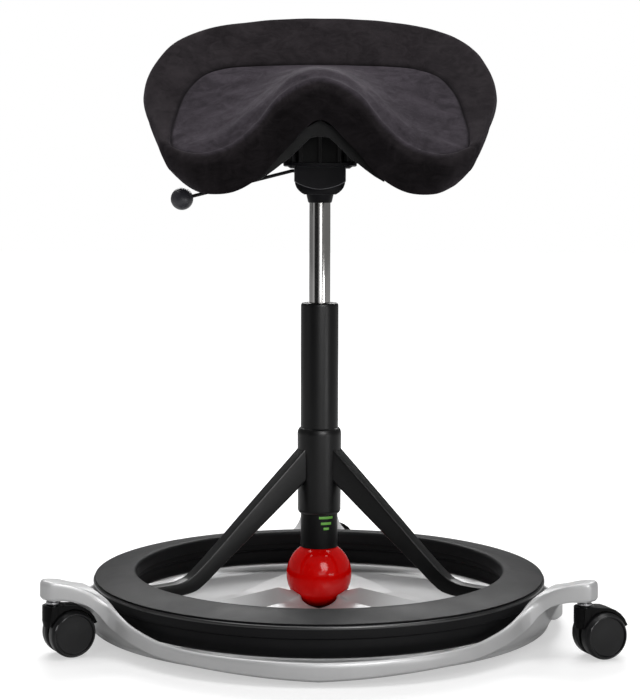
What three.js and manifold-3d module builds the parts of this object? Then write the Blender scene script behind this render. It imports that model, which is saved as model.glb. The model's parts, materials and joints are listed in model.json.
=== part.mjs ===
// A wobble stool: a saddle seat on a gas column, carried by a ball that rolls in a dished base on castors.
// Millimetres, +Z up, with -Y to the front and +X to the right of a view of the front. Heights in the
// constants are above the floor. The origin is the centre of the base's flat underside.
import * as THREE from "three";
import { mergeVertices } from "three/addons/utils/BufferGeometryUtils.js";
import Module from "manifold-3d";

const wasm = await Module();
wasm.setup();

// Driving dimensions
const GAP = 0.3;
const BALL_ROOM = 0.6;
const UNDERSIDE = 4;
const ARM_ANGLES = { front_left: 210, front_right: 330, rear: 90 };

const BALL = { radius: 43.5, height: 62.7 };
const CUP = { radius: 35.7, bottom: 15, rim: 24.5 };

// The socket's rim is high on the ridges that lead to the arms, and low between them
const DISH = { ridgeRim: 39, lowRim: 25.5, collar: 43, plateau: 122, plateauRise: 25, floor: 17 };
const TROUGH = { start: 236, floor: 8 };
const RIM_EDGE = 5;

const CASTER = { circle: 377, trail: 20.5, wheelRadius: 28.6, wheelWidth: 18, webHalf: 4.2,
  stemRadius: 5.5, top: 63.5 };
const CASTER_TURN = { front_left: 28, front_right: 20, rear: 24 };
const ARM_UNDERSIDE = 71;

const SLEEVE = { outer: 24.5, inner: 21, top: 172 };
const HUB = { topRadius: 29.3, bottomRadius: 28.4, bottom: 141, top: 258, bore: 25.3 };
const TUBE = { outer: 25, inner: 23, bottom: 176, top: 424 };
const CYLINDER = { outer: 14, inner: 12.5, bottom: 315, top: 588, cap: 14 };
const ROD = { radius: 5, bottom: 171, top: 415.6 };
const BRACKET = { width: 68, depth: 60, bottom: 585, top: 605.7, plate: 4, socketBottom: 557 };
const LEVER = { pivotX: -20, bendX: -37, height: 599.5, knobX: -184, knobZ: 561.7, rodRadius: 2.4,
  knobRadius: 15 };
const SEAT_BOLT = { x: 36, y: 47, shank: 3, head: 6.2 };

const RING_SEGMENTS = 48;
const ROUND = 24;
const SMALL_ROUND = 14;

// Curves of the base's rim against the angle from the nearest arm, in degrees
const RIM_ANGLES = [0, 1.7, 2.9, 4.3, 5.4, 7, 10, 16, 24, 33, 42, 51, 60];
const RIM_RADIUS = [393, 390, 374, 348, 328, 317.5, 317, 319, 322, 324.3, 325, 325, 325];
const RIM_TOP = [95, 94.4, 92, 86.5, 70, 55, 47, 39.5, 34, 31.2, 29, 27.4, 26.5];
const RIM_BOTTOM = [71, 71, 70.5, 64, 50.5, 35.5, 28, 20.5, 14.7, 13, 10.4, 7.4, 5];
// The wall that rises beside the foot ring into an arm, as height and radius, inside and outside
const ARM_INNER_WALL = [[8, 304], [32, 307.5], [60, 312.5], [84, 334]];
const ARM_OUTER_WALL = [[4, 270], [12, 304], [30, 313.5], [50, 317], [63, 328], [70.5, 351]];

// Turns a geometry into one with merged vertices, no empty triangles and outward faces.
function closed(geometry) {
  const bare = new THREE.BufferGeometry().setAttribute("position", geometry.getAttribute("position"));
  bare.setIndex(geometry.index);
  const merged = mergeVertices(bare, 1e-3);
  const kept = [];
  const index = merged.index.array;
  for (let i = 0; i < index.length; i += 3) {
    const [a, b, c] = index.subarray(i, i + 3);
    if (a !== b && b !== c && c !== a) kept.push(a, b, c);
  }
  merged.setIndex(kept);
  if (signedVolume(merged) < 0) merged.setIndex(kept.reverse());
  return merged;
}

function signedVolume(geometry) {
  const position = geometry.getAttribute("position");
  const [a, b, c] = [new THREE.Vector3(), new THREE.Vector3(), new THREE.Vector3()];
  let sum = 0;
  for (let i = 0; i < geometry.index.count; i += 3) {
    a.fromBufferAttribute(position, geometry.index.getX(i));
    b.fromBufferAttribute(position, geometry.index.getX(i + 1));
    c.fromBufferAttribute(position, geometry.index.getX(i + 2));
    sum += a.dot(b.cross(c));
  }
  return sum / 6;
}

function solid(geometry) {
  const merged = closed(geometry);
  const vertProperties = merged.getAttribute("position").array;
  const triVerts = new Uint32Array(merged.index.array);
  return new wasm.Manifold(new wasm.Mesh({ numProp: 3, vertProperties, triVerts }));
}

// The finest detail kept where two solids have been joined or cut
const FINEST = 0.02;

function geometryOf(body) {
  const mesh = body.simplify(FINEST).getMesh();
  const geometry = new THREE.BufferGeometry();
  geometry.setAttribute("position", new THREE.BufferAttribute(new Float32Array(mesh.vertProperties), 3));
  geometry.setIndex(new THREE.BufferAttribute(new Uint32Array(mesh.triVerts), 1));
  return geometry;
}

function join(...geometries) {
  return geometryOf(geometries.map(solid).reduce((sum, piece) => sum.add(piece)));
}

function cut(geometry, ...tools) {
  return geometryOf(tools.map(solid).reduce((rest, tool) => rest.subtract(tool), solid(geometry)));
}

function common(geometry, other) {
  return geometryOf(solid(geometry).intersect(solid(other)));
}

// A profile of [radius, height] pairs turned about Z. It starts and ends on the axis, or is closed here.
function revolve(profile, segments = ROUND) {
  const points = profile.map(([radius, height]) => new THREE.Vector2(radius, height));
  if (points[0].x > 0 || points.at(-1).x > 0) points.push(points[0].clone());
  return closed(new THREE.LatheGeometry(points, segments).rotateX(Math.PI / 2));
}

function ring(inner, outer, bottom, top, segments = ROUND) {
  return revolve([[inner, bottom], [outer, bottom], [outer, top], [inner, top]], segments);
}

function rod(radius, bottom, top, segments = SMALL_ROUND) {
  return revolve([[0, bottom], [radius, bottom], [radius, top], [0, top]], segments);
}

function box(x0, x1, y0, y1, z0, z1) {
  const geometry = new THREE.BoxGeometry(x1 - x0, y1 - y0, z1 - z0);
  return geometry.translate((x0 + x1) / 2, (y0 + y1) / 2, (z0 + z1) / 2);
}

// A skin over sections of equal point count. Open lofts get flat ends, closed ones run round to the first.
function loft(sections, runsRound = false) {
  const count = sections[0].length;
  const points = sections.flat();
  const index = [];
  const rows = runsRound ? sections.length : sections.length - 1;
  for (let i = 0; i < rows; i++) {
    const row = i * count;
    const next = ((i + 1) % sections.length) * count;
    for (let j = 0; j < count; j++) {
      const k = (j + 1) % count;
      index.push(row + j, row + k, next + k, row + j, next + k, next + j);
    }
  }
  if (!runsRound) {
    for (const [first, flip] of [[0, false], [(sections.length - 1) * count, true]]) {
      for (let j = 1; j < count - 1; j++) {
        index.push(first, first + (flip ? j : j + 1), first + (flip ? j + 1 : j));
      }
    }
  }
  const geometry = new THREE.BufferGeometry().setFromPoints(points);
  geometry.setIndex(index);
  return closed(geometry);
}

// Straight-line reading of a table of [key, value] pairs with rising keys.
function along(pairs, key) {
  if (key <= pairs[0][0]) return pairs[0][1];
  for (let i = 1; i < pairs.length; i++) {
    if (key <= pairs[i][0]) {
      const share = (key - pairs[i - 1][0]) / (pairs[i][0] - pairs[i - 1][0]);
      return THREE.MathUtils.lerp(pairs[i - 1][1], pairs[i][1], share);
    }
  }
  return pairs.at(-1)[1];
}

function smooth(value, from, to) {
  return THREE.MathUtils.smoothstep(value, Math.min(from, to), Math.max(from, to));
}

function polar(radius, degrees, z) {
  const angle = THREE.MathUtils.degToRad(degrees);
  return new THREE.Vector3(radius * Math.cos(angle), radius * Math.sin(angle), z);
}

// The base: a shallow dish with a trough for the foot ring, a raised centre, and three arms drawn out of its
// rim. Each section is the outline on one side of the axis at one angle.
function dishSection(fromArm) {
  const table = (values) => along(RIM_ANGLES.map((angle, i) => [angle, values[i]]), fromArm);
  const [rim, top, bottom] = [table(RIM_RADIUS), table(RIM_TOP), table(RIM_BOTTOM)];
  const nearArm = 1 - smooth(fromArm, 14, 35);
  const ridge = 1 - smooth(fromArm, 10, 24);
  const facetAngle = THREE.MathUtils.degToRad(60 - fromArm);
  const edge = Math.min(DISH.plateau / Math.cos(facetAngle), 152);
  const edgeHeight = THREE.MathUtils.lerp(DISH.plateauRise, DISH.floor + 2, smooth(fromArm, 48, 18));
  const mouth = THREE.MathUtils.lerp(DISH.lowRim, DISH.ridgeRim, ridge);
  const section = [
    [0, CUP.bottom - GAP],
    [CUP.radius + GAP, CUP.bottom - GAP],
    [CUP.radius + GAP, mouth - 2],
    [DISH.collar - 4, mouth],
    [DISH.collar, mouth - 1],
    [edge, edgeHeight],
    [edge + 4, DISH.floor],
    [TROUGH.start - 3, DISH.floor],
    [TROUGH.start + 3, TROUGH.floor],
  ];
  const wallTop = top - 1;
  for (const [height] of ARM_INNER_WALL) {
    const share = (height - TROUGH.floor) / (ARM_INNER_WALL.at(-1)[0] + 10 - TROUGH.floor);
    const z = TROUGH.floor + (wallTop - TROUGH.floor) * share;
    const steep = along(ARM_INNER_WALL, z);
    const bowl = THREE.MathUtils.lerp(ARM_INNER_WALL[0][1], rim - RIM_EDGE, share);
    section.push([Math.min(THREE.MathUtils.lerp(bowl, steep, nearArm), rim - RIM_EDGE - 1), z]);
  }
  section.push(
    [rim - RIM_EDGE, top],
    [rim - 1.4, top - 1.4],
    [rim, top - RIM_EDGE],
    [rim, bottom + 3],
    [rim - 3.5, bottom],
  );
  for (const [height] of ARM_OUTER_WALL.toReversed()) {
    const z = UNDERSIDE + ((bottom - UNDERSIDE) * (height - UNDERSIDE)) / (ARM_UNDERSIDE - UNDERSIDE);
    section.push([Math.min(along(ARM_OUTER_WALL, z), rim - 4), z]);
  }
  section.push([0, UNDERSIDE]);
  return section;
}

function makeBase() {
  const sections = [];
  const half = RIM_ANGLES.slice(1, -1);
  for (const arm of Object.values(ARM_ANGLES)) {
    for (const offset of [...half.map((angle) => -angle).toReversed(), 0, ...RIM_ANGLES.slice(1)]) {
      const section = dishSection(Math.abs(offset));
      sections.push(section.map(([radius, z]) => polar(radius, arm + offset, z)));
    }
  }
  sections.sort((a, b) => angleOf(a) - angleOf(b));
  const stems = Object.values(ARM_ANGLES).map((angle) => {
    const at = polar(CASTER.circle, angle, 0);
    return rod(CASTER.stemRadius + GAP, ARM_UNDERSIDE - 5, 88.5).translate(at.x, at.y, 0);
  });
  return cut(loft(sections, true), ...stems);
}

function angleOf(section) {
  const outer = section[Math.floor(section.length / 2)];
  return (Math.atan2(outer.y, outer.x) + 2 * Math.PI) % (2 * Math.PI);
}

// The plastic cup that the ball rolls in
function makeBallCup() {
  const inside = BALL.radius + BALL_ROOM;
  const profile = [[0, CUP.bottom], [CUP.radius, CUP.bottom], [CUP.radius, CUP.rim - 1],
    [CUP.radius - 1, CUP.rim]];
  const steps = 6;
  const mouth = Math.acos((BALL.height - CUP.rim) / inside);
  for (let i = 0; i <= steps; i++) {
    const angle = mouth * (1 - i / steps);
    profile.push([inside * Math.sin(angle), BALL.height - inside * Math.cos(angle)]);
  }
  return revolve(profile, ROUND);
}

function makeBall() {
  return new THREE.SphereGeometry(BALL.radius, 28, 14).rotateX(Math.PI / 2).translate(0, 0, BALL.height);
}

// Height of a sphere about the ball's centre, at a radius from the axis
function overBall(radius, clearance) {
  return BALL.height + Math.sqrt((BALL.radius + clearance) ** 2 - radius ** 2);
}

// The spindle's foot is hollowed to the ball's curve, so the two turn about the ball's centre.
function makeSpindle() {
  const foot = SLEEVE.inner - GAP;
  const profile = [[0, overBall(0, BALL_ROOM)]];
  for (const radius of [7, 14, foot]) profile.push([radius, overBall(radius, BALL_ROOM)]);
  profile.push([foot, 112], [12, 115], [12, 169], [10.5, 170.5], [0, 170.5]);
  return revolve(profile);
}

function makeScaleSleeve() {
  const { outer, inner, top } = SLEEVE;
  return revolve([
    [inner, overBall(inner, BALL_ROOM)],
    [outer, overBall(outer, BALL_ROOM)],
    [outer, top - 1],
    [outer - 1, top],
    [inner, top],
  ]);
}

function makeThreadedBush() {
  return revolve([[12.5, 121], [19.5, 121], [20.5, 123], [20.5, 172.4], [24.9, 172.4], [24.9, 175.6],
    [12.5, 175.6]]);
}

function makeHub() {
  const { topRadius, bottomRadius, bottom, top, bore } = HUB;
  const shoulder = 6;
  const profile = [[bore, bottom], [bottomRadius - 2, bottom], [bottomRadius - 0.5, bottom + 1],
    [bottomRadius, bottom + 3]];
  profile.push([topRadius, top - shoulder]);
  for (const degrees of [30, 60, 90]) {
    const angle = THREE.MathUtils.degToRad(degrees);
    const reach = topRadius - bore - 0.4;
    profile.push([bore + 0.4 + reach * Math.cos(angle), top - shoulder + shoulder * Math.sin(angle)]);
  }
  profile.push([bore, top]);
  return revolve(profile, 32);
}

// A leg: a forged bar of rounded-rectangle section that runs down from the hub, bends flat at its foot and
// ends in a thin tongue for its screw.
// Each station gives the upper edge and the lower edge as [reach, height], and the width.
const LEG_STATIONS = [
  [[30.6, 228.5], [30.6, 185.5], 21.8],
  [[111.5, 153], [103, 126.3], 20.5],
  [[169, 99], [155, 84], 19],
  [[186, 84.5], [172.5, 69.3], 18.6],
  [[198, 76.6], [187, 60.6], 18.3],
  [[213, 72.6], [206, 57.4], 18],
  [[236, 71.6], [232, 57.2], 18],
  [[249.4, 71.6], [249.4, 57.2], 18],
  [[250, 62], [250, 57.4], 15],
  [[273, 62], [273, 57.4], 15],
];
const LEG_SLOPE = 0.93;
const LEG_CORNER = [[0, 1], [0.35, 0.35], [1, 0]];

function legSection([[topReach, topHeight], [footReach, footHeight], width]) {
  const top = new THREE.Vector2(topReach, topHeight);
  const foot = new THREE.Vector2(footReach, footHeight);
  const depth = top.distanceTo(foot);
  const rounding = Math.min(3.2, depth * 0.3);
  const points = [new THREE.Vector3(top.x, 0, top.y)];
  for (const [side, end] of [[1, 1], [1, -1], [-1, -1], [-1, 1]]) {
    const corners = side * end > 0 ? LEG_CORNER.toReversed() : LEG_CORNER;
    if (side < 0 && end < 0) points.push(new THREE.Vector3(foot.x, 0, foot.y));
    for (const [inAcross, inDown] of corners) {
      const across = side * (width / 2 - rounding * inAcross);
      const down = depth / 2 - end * (depth / 2 - rounding * inDown);
      const at = top.clone().lerp(foot, down / depth);
      points.push(new THREE.Vector3(at.x, across, at.y));
    }
  }
  return points;
}

const LEG_SCREW_REACH = 262;

function makeLeg(degrees) {
  const sections = LEG_STATIONS.map(legSection);
  for (const point of sections[0]) {
    const back = Math.abs(point.y) * Math.tan(Math.PI / 12);
    point.x -= back;
    point.z += back * LEG_SLOPE;
  }
  const screwHole = rod(2.6, 50, 70).translate(LEG_SCREW_REACH, 0, 0);
  return cut(loft(sections), screwHole).rotateZ(THREE.MathUtils.degToRad(degrees));
}

function makeLegScrew(degrees) {
  const profile = [[0, 53.4], [4, 53.4], [4.8, 54.4], [4.8, 56.9], [2.2, 56.9], [2.2, 66], [0, 66]];
  const at = polar(LEG_SCREW_REACH, degrees, 0);
  return revolve(profile, 10).translate(at.x, at.y, 0);
}

// The foot ring's cover: an inverted channel whose top slopes outwards
const RING_COVER = [
  [242, 57], [246, 57], [246, 67.5], [287, 64], [294, 58], [294, 50.6], [298, 50.6],
  [298, 60], [295.6, 64.4], [288, 68.4], [252, 72], [244.6, 72], [242, 69.6],
];
const RING_CHANNEL = [
  [250, 56.6], [250, 47], [256, 44], [257, 31], [264, 22], [286, 22], [294, 34],
  [294, 49.8], [290.6, 49.8], [290.6, 56.6], [287, 56.6], [287, 32], [281, 26.5], [266, 26.5],
    [260, 47.5],
  [254, 56.6],
];

function makeRingCover() {
  const angles = Object.values(ARM_ANGLES);
  const bosses = angles.map((degrees) => {
    const at = polar(LEG_SCREW_REACH, degrees, 0);
    return rod(5.5, 62.4, 68).translate(at.x, at.y, 0);
  });
  const notches = angles.flatMap((degrees) => {
    const turn = THREE.MathUtils.degToRad(degrees);
    const at = polar(LEG_SCREW_REACH, degrees, 0);
    return [
      box(236, 249.4 + GAP, -9 - GAP, 9 + GAP, 50, 80).rotateZ(turn),
      rod(2.5, 60, 66.4).translate(at.x, at.y, 0),
    ];
  });
  return cut(join(revolve(RING_COVER, RING_SEGMENTS), ...bosses), ...notches);
}

function makeRingChannel() {
  return revolve(RING_CHANNEL, RING_SEGMENTS);
}

// The gas column
function makeGasTube() {
  const { outer, inner, bottom, top } = TUBE;
  return revolve([
    [5.7, bottom],
    [outer - 1.2, bottom],
    [outer, bottom + 60],
    [outer, top - 5],
    [outer - 1.4, top - 1.5],
    [outer - 5, top],
    [outer - 8, top],
    [outer - 8, top - 3],
    [inner, top - 3],
    [inner, bottom + 4],
    [5.7, bottom + 4],
  ]);
}

function makeGuideBush() {
  const { outer } = CYLINDER;
  const { inner, top } = TUBE;
  return revolve([
    [outer + GAP, 345],
    [inner - GAP, 345],
    [inner - GAP, top - 3.3],
    [TUBE.outer - 8.3, top - 3.3],
    [TUBE.outer - 8.3, top - 0.6],
    [outer + GAP, top - 0.6],
  ]);
}

function makeGasCylinder() {
  const { outer, inner, bottom, top, cap } = CYLINDER;
  return revolve([
    [inner, bottom],
    [outer - 0.8, bottom],
    [outer, bottom + 1],
    [outer, top - 1.5],
    [outer - 1.5, top],
    [3.4, top],
    [3.4, top - cap],
    [inner, top - cap],
  ]);
}

function makeRod() {
  const { radius, bottom, top } = ROD;
  return revolve([
    [0, bottom],
    [radius - 1, bottom],
    [radius - 1, 174.7],
    [radius, 174.7],
    [radius, 187.8],
    [7.4, 187.8],
    [7.4, 189.4],
    [radius, 189.4],
    [radius, top],
    [0, top],
  ]);
}

function makeRetainingClip() {
  const disc = ring(ROD.radius - 1 + GAP, 9, 173.2, 174.4, 16);
  return cut(disc, box(-3.2, 3.2, 0, 12, 170, 178));
}

function makePiston() {
  return revolve([[0, 416], [5.3, 416], [5.3, 406], [11.2, 406], [12.2, 407.2], [12.2, 417.8],
    [11.2, 419], [0, 419]], 18);
}

// The seat's mechanism: a flanged housing with a tapered socket for the cylinder and a slot for the lever
function makeBracket() {
  const { width, depth, bottom, top, plate, socketBottom } = BRACKET;
  const flange = extrudeUp(roundedRectangle(96, 118, 12), top, top + plate - GAP);
  const housing = extrudeUp(roundedRectangle(width, depth, 8), bottom, top + 1);
  // Seen from the front, the housing's cheeks curve in below it on each side of the socket
  const cheekShape = new THREE.Shape();
  cheekShape.moveTo(-width / 2 + 0.5, bottom + 1);
  cheekShape.quadraticCurveTo(-width / 2 + 1, bottom - 11, -width / 2 + 13, bottom - 17);
  cheekShape.lineTo(width / 2 - 13, bottom - 17);
  cheekShape.quadraticCurveTo(width / 2 - 1, bottom - 11, width / 2 - 0.5, bottom + 1);
  const cheekDepth = 38;
  const cheeks = new THREE.ExtrudeGeometry(cheekShape, { depth: cheekDepth, bevelEnabled: false,
    curveSegments: 5 });
  cheeks.rotateX(Math.PI / 2).translate(0, cheekDepth / 2, 0);
  const socket = revolve([
    [0, socketBottom], [14.9, socketBottom], [16, socketBottom + 1.5], [20.8, bottom - 5], [21, top],
      [0, top],
  ]);
  const lever = box(-width, 12, -7, 7, 590, top - 0.2);
  const column = rod(CYLINDER.outer + GAP, socketBottom - 5, CYLINDER.top + GAP, ROUND);
  const valve = rod(7, 580, 600);
  const pin = rod(2.3, -12.6, 12.6).rotateX(Math.PI / 2).translate(LEVER.pivotX, 0, LEVER.height);
  const pockets = [-1, 1].map((side) => box(Math.min(side * 23, side * 30), Math.max(side * 23,
    side * 30), -40, -12, 560, 601));
  const bolts = seatBoltPlaces(rod(SEAT_BOLT.shank + 0.4, 590, 620));
  return cut(join(flange, housing, cheeks, socket), lever, column, valve, pin, ...pockets, ...bolts);
}

function roundedRectangle(width, depth, corner) {
  const shape = new THREE.Shape();
  const steps = 3;
  const [w, d] = [width / 2 - corner, depth / 2 - corner];
  const centres = [[w, d, 0], [-w, d, 90], [-w, -d, 180], [w, -d, 270]];
  const points = centres.flatMap(([x, y, start]) =>
    Array.from({ length: steps + 1 }, (_, i) => {
      const angle = THREE.MathUtils.degToRad(start + (90 * i) / steps);
      return new THREE.Vector2(x + corner * Math.cos(angle), y + corner * Math.sin(angle));
    }),
  );
  shape.setFromPoints(points);
  return shape;
}

function extrudeUp(shape, bottom, top) {
  return new THREE.ExtrudeGeometry(shape, { depth: top - bottom, bevelEnabled: false,
    curveSegments: 6 }).translate(0, 0, bottom);
}

function seatBoltPlaces(geometry) {
  const signs = [[-1, -1], [1, -1], [1, 1], [-1, 1]];
  return signs.map(([sx, sy]) => geometry.clone().translate(sx * SEAT_BOLT.x, sy * SEAT_BOLT.y, 0));
}

// The cover at the housing's front: a shield with an arched lower edge
function makeBracketCover() {
  const half = BRACKET.width / 2;
  const shape = new THREE.Shape();
  shape.moveTo(-half, 585);
  shape.quadraticCurveTo(-half * 0.55, 575.5, 0, 574.6);
  shape.quadraticCurveTo(half * 0.55, 575.5, half, 585);
  shape.lineTo(half, 603);
  shape.lineTo(half - 2.5, 605.2);
  shape.lineTo(-half + 2.5, 605.2);
  shape.lineTo(-half, 603);
  const plate = new THREE.ExtrudeGeometry(shape, { depth: 3.6, bevelEnabled: false, curveSegments: 6 });
  plate.rotateX(Math.PI / 2).translate(0, -BRACKET.depth / 2 - GAP, 0);
  const clips = [-1, 1].map((side) => box(side * 26 - 3, side * 26 + 3, -BRACKET.depth / 2 - 1, -22, 596,
    599.6));
  return join(plate, ...clips);
}

// The lever: a hub on its pin, a finger over the valve and a thin rod that slopes down to the knob
// The sloping stretch of the lever, from its bend to the knob
function leverStick() {
  const { bendX, height, knobX, knobZ } = LEVER;
  return {
    slope: Math.atan2(height - knobZ, bendX - knobX),
    length: Math.hypot(height - knobZ, bendX - knobX),
  };
}

function makeLever() {
  const { pivotX, bendX, height, rodRadius } = LEVER;
  const hub = rod(4.6, -6.4, 6.4).rotateX(Math.PI / 2).translate(pivotX, 0, height);
  const finger = box(pivotX, 6, -5, 5, height - 0.4, height + 3.6);
  const { slope, length } = leverStick();
  const stick = rod(rodRadius, 0, length - 4, 10);
  stick.rotateY(-Math.PI / 2 - slope).translate(bendX, 0, height);
  const shoulder = rod(rodRadius, 0, pivotX - bendX, 10).rotateY(-Math.PI / 2).translate(pivotX, 0,
    height);
  const bend = new THREE.SphereGeometry(rodRadius, 10, 6).translate(bendX, 0, height);
  const hole = rod(2.4, -8, 8).rotateX(Math.PI / 2).translate(pivotX, 0, height);
  return cut(join(hub, finger, shoulder, bend, stick), hole);
}

function makeKnob() {
  const { knobX, knobZ, rodRadius, knobRadius } = LEVER;
  const { slope } = leverStick();
  const ball = new THREE.SphereGeometry(knobRadius, 16, 10).rotateX(Math.PI / 2);
  const bore = rod(rodRadius + GAP, -5, 30, 10).rotateY(Math.PI / 2 - slope);
  return cut(ball, bore).translate(knobX, 0, knobZ);
}

// The seat. Four rows of stations run from the back's centre round the right side to the front's centre:
// the seam round the sitting panel, the crest of the rim, its widest line and the lower edge.
const SEAT_SEAM = [
  [0, 102, 747], [70, 101, 746], [128, 88, 742], [160, 55, 730], [181, 5, 702], [189, -50, 668],
    [190, -105, 641],
  [180, -148, 623], [145, -170, 618], [110, -174, 630], [80, -174, 656], [46, -173, 695], [0, -171, 714],
];
const SEAT_CREST = [
  [0, 160, 818], [85, 156, 814], [160, 134, 800], [206, 88, 773], [229.5, 27, 728], [228, -30, 686],
    [214, -85, 656],
  [196, -138, 627], [155, -181, 611], [113, -185, 619], [80, -185, 643], [45, -184, 682], [0, -182, 703],
];
const SEAT_WIDEST = [
  [0, 178, 786], [90, 173, 782], [168, 148, 768], [215, 95, 740], [237, 28, 692], [221.5, -30, 653],
    [205, -85, 621.5],
  [186, -140, 598], [150, -180, 588], [112, -184, 594], [80, -184, 617], [44, -181, 653], [0, -179, 682],
];
const SEAT_EDGE = [
  [0, 160, 752], [84, 157, 749], [156, 133, 734], [195, 88, 703], [212, 26, 655], [205, -32, 618],
    [187.5, -86, 594.5],
  [167, -135, 578.5], [142, -166, 569], [108, -170, 571], [74, -170, 590], [40, -168, 627],
    [0, -167, 661],
];
const SEAT_HALF_STEPS = 20;
const SEAT_CENTRE_Y = -30;
const CUSHION_DEPTH = 50;

// Height of the sitting panel: a ridge along the middle whose flanks fall away towards the front
function panelHeight(x, y) {
  const ridge = 739 + 0.08 * y - 10 * smooth(y, -140, -172) * (y < -140 ? 1 : 0);
  const fall = 99 * Math.pow(THREE.MathUtils.clamp((100 - y) / 265, 0, 1.05), 1.25);
  return ridge - fall * THREE.MathUtils.smoothstep(Math.abs(x), 0, 142);
}

function seatLoop(stations) {
  const curve = new THREE.CatmullRomCurve3(
    [[-stations[1][0], stations[1][1], stations[1][2]], ...stations, [-stations.at(-2)[0],
      ...stations.at(-2).slice(1)]]
      .map(([x, y, z]) => new THREE.Vector3(x, y, z)),
    false,
    "centripetal",
  );
  const spans = stations.length + 1;
  const right = Array.from({ length: SEAT_HALF_STEPS + 1 }, (_, i) => {
    const station = 1 + (i / SEAT_HALF_STEPS) * (stations.length - 1);
    return curve.getPoint(station / spans);
  });
  right[0].x = 0;
  right.at(-1).x = 0;
  const left = right.slice(1, -1).toReversed().map((p) => new THREE.Vector3(-p.x, p.y, p.z));
  return [...right, ...left];
}

// A loop drawn in towards the seat's centre, at a share of its reach, lying on a height function
function drawnIn(loop, share, lift, follow) {
  return loop.map((p) => {
    const x = p.x * share;
    const y = SEAT_CENTRE_Y + (p.y - SEAT_CENTRE_Y) * share;
    const own = p.z - (panelHeight(p.x, p.y) + lift);
    return new THREE.Vector3(x, y, panelHeight(x, y) + lift + own * follow);
  });
}

function mixed(loopA, loopB, share, outwards, upwards) {
  return loopA.map((p, i) => {
    const point = p.clone().lerp(loopB[i], share);
    const away = new THREE.Vector2(point.x, point.y - SEAT_CENTRE_Y).normalize().multiplyScalar(outwards);
    return new THREE.Vector3(point.x + away.x, point.y + away.y, point.z + upwards);
  });
}

function centrePoint(loop, z) {
  return loop.map(() => new THREE.Vector3(0, SEAT_CENTRE_Y, z));
}

function makeCushion() {
  const seam = seatLoop(SEAT_SEAM);
  const crest = seatLoop(SEAT_CREST);
  const widest = seatLoop(SEAT_WIDEST);
  const edge = seatLoop(SEAT_EDGE);
  const middle = panelHeight(0, SEAT_CENTRE_Y);
  return loft([
    centrePoint(seam, middle),
    drawnIn(seam, 0.35, 0, 0.1),
    drawnIn(seam, 0.65, 0, 0.35),
    drawnIn(seam, 0.88, 0, 0.75),
    drawnIn(seam, 0.97, 0, 1),
    mixed(seam, crest, 0.02, 0, -2),
    mixed(seam, crest, 0.12, 0, 1.5),
    mixed(seam, crest, 0.6, 1, 3),
    mixed(crest, widest, 0.05, 0, 0),
    mixed(crest, widest, 0.5, 3, 2),
    mixed(widest, edge, 0.1, 0.5, 0),
    mixed(widest, edge, 0.7, 1, 0),
    edge,
    drawnIn(edge, 0.92, -CUSHION_DEPTH, 0.72),
    drawnIn(edge, 0.7, -CUSHION_DEPTH, 0.2),
    drawnIn(edge, 0.4, -CUSHION_DEPTH, 0.03),
    centrePoint(edge, middle - CUSHION_DEPTH),
  ]);
}

// The shell under the cushion, and the ribbed pedestal that stands on the bracket
const SHELL_RIBS = [-25, 0, 25];
// The lower edge of the shell's front lip, as distance from the middle and height
const FRONT_LIP = [[0, 641], [12, 639], [20, 631.5], [28, 623.5], [37, 614.5], [47, 607], [57, 599],
  [68, 591], [80, 584]];
const LIP_BACK = -152.6;

function makeSeatShell() {
  const edge = seatLoop(SEAT_EDGE);
  const middle = panelHeight(0, SEAT_CENTRE_Y) - CUSHION_DEPTH;
  const under = (share, follow, drop) => drawnIn(edge, share, -CUSHION_DEPTH - drop, follow);
  const shell = loft([
    centrePoint(edge, middle - 7.2),
    under(0.4, 0.03, 7.2),
    under(0.7, 0.2, 7.2),
    under(0.9, 0.66, 8),
    under(0.92, 0.72, 5),
    under(0.92, 0.72, 0.8),
    under(0.7, 0.2, 0.8),
    under(0.4, 0.03, 0.8),
    centrePoint(edge, middle - 0.8),
  ]);
  const below = loft([
    centrePoint(edge, middle - 4),
    under(0.4, 0.03, 4),
    under(0.7, 0.2, 4),
    under(0.92, 0.72, 4),
    under(0.92, 0.72, 4).map((p) => new THREE.Vector3(p.x, p.y, 540)),
    centrePoint(edge, 540),
  ]);
  const foot = [52, 62];
  const pedestal = loft(
    [[610, 1], [628, 1.02], [655, 1.25], [700, 1.9]].map(([z, grow]) =>
      roundedRectangle(2 * foot[0] * grow, 2 * foot[1] * grow, 14).getPoints().slice(0, 16)
        .map((p) => new THREE.Vector3(p.x, p.y, z)),
    ),
  );
  const plates = join(
    ...SHELL_RIBS.map((x) => box(x - 1.8, x + 1.8, -120, 120, 609, 710)),
    ...[-SEAT_BOLT.y, SEAT_BOLT.y].map((y) => box(-120, 120, y - 1.8, y + 1.8, 609, 710)),
    ...seatBoltPlaces(rod(7.5, 609, 700, 10)),
  );
  const ribs = common(plates, pedestal);
  // The front lip is an arch that hangs below the cushion's front edge
  const arch = new THREE.Shape();
  arch.moveTo(-FRONT_LIP.at(-1)[0], 700);
  for (const [x, z] of FRONT_LIP.toReversed()) arch.lineTo(-x, z);
  for (const [x, z] of FRONT_LIP.slice(1)) arch.lineTo(x, z);
  arch.lineTo(FRONT_LIP.at(-1)[0], 700);
  const lip = new THREE.ExtrudeGeometry(arch, { depth: 12, bevelEnabled: false });
  lip.rotateX(Math.PI / 2).translate(0, LIP_BACK, 0);
  const bolts = seatBoltPlaces(rod(SEAT_BOLT.shank + GAP, 600, 631));
  return cut(join(shell, common(join(ribs, lip), below)), ...bolts);
}

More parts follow.
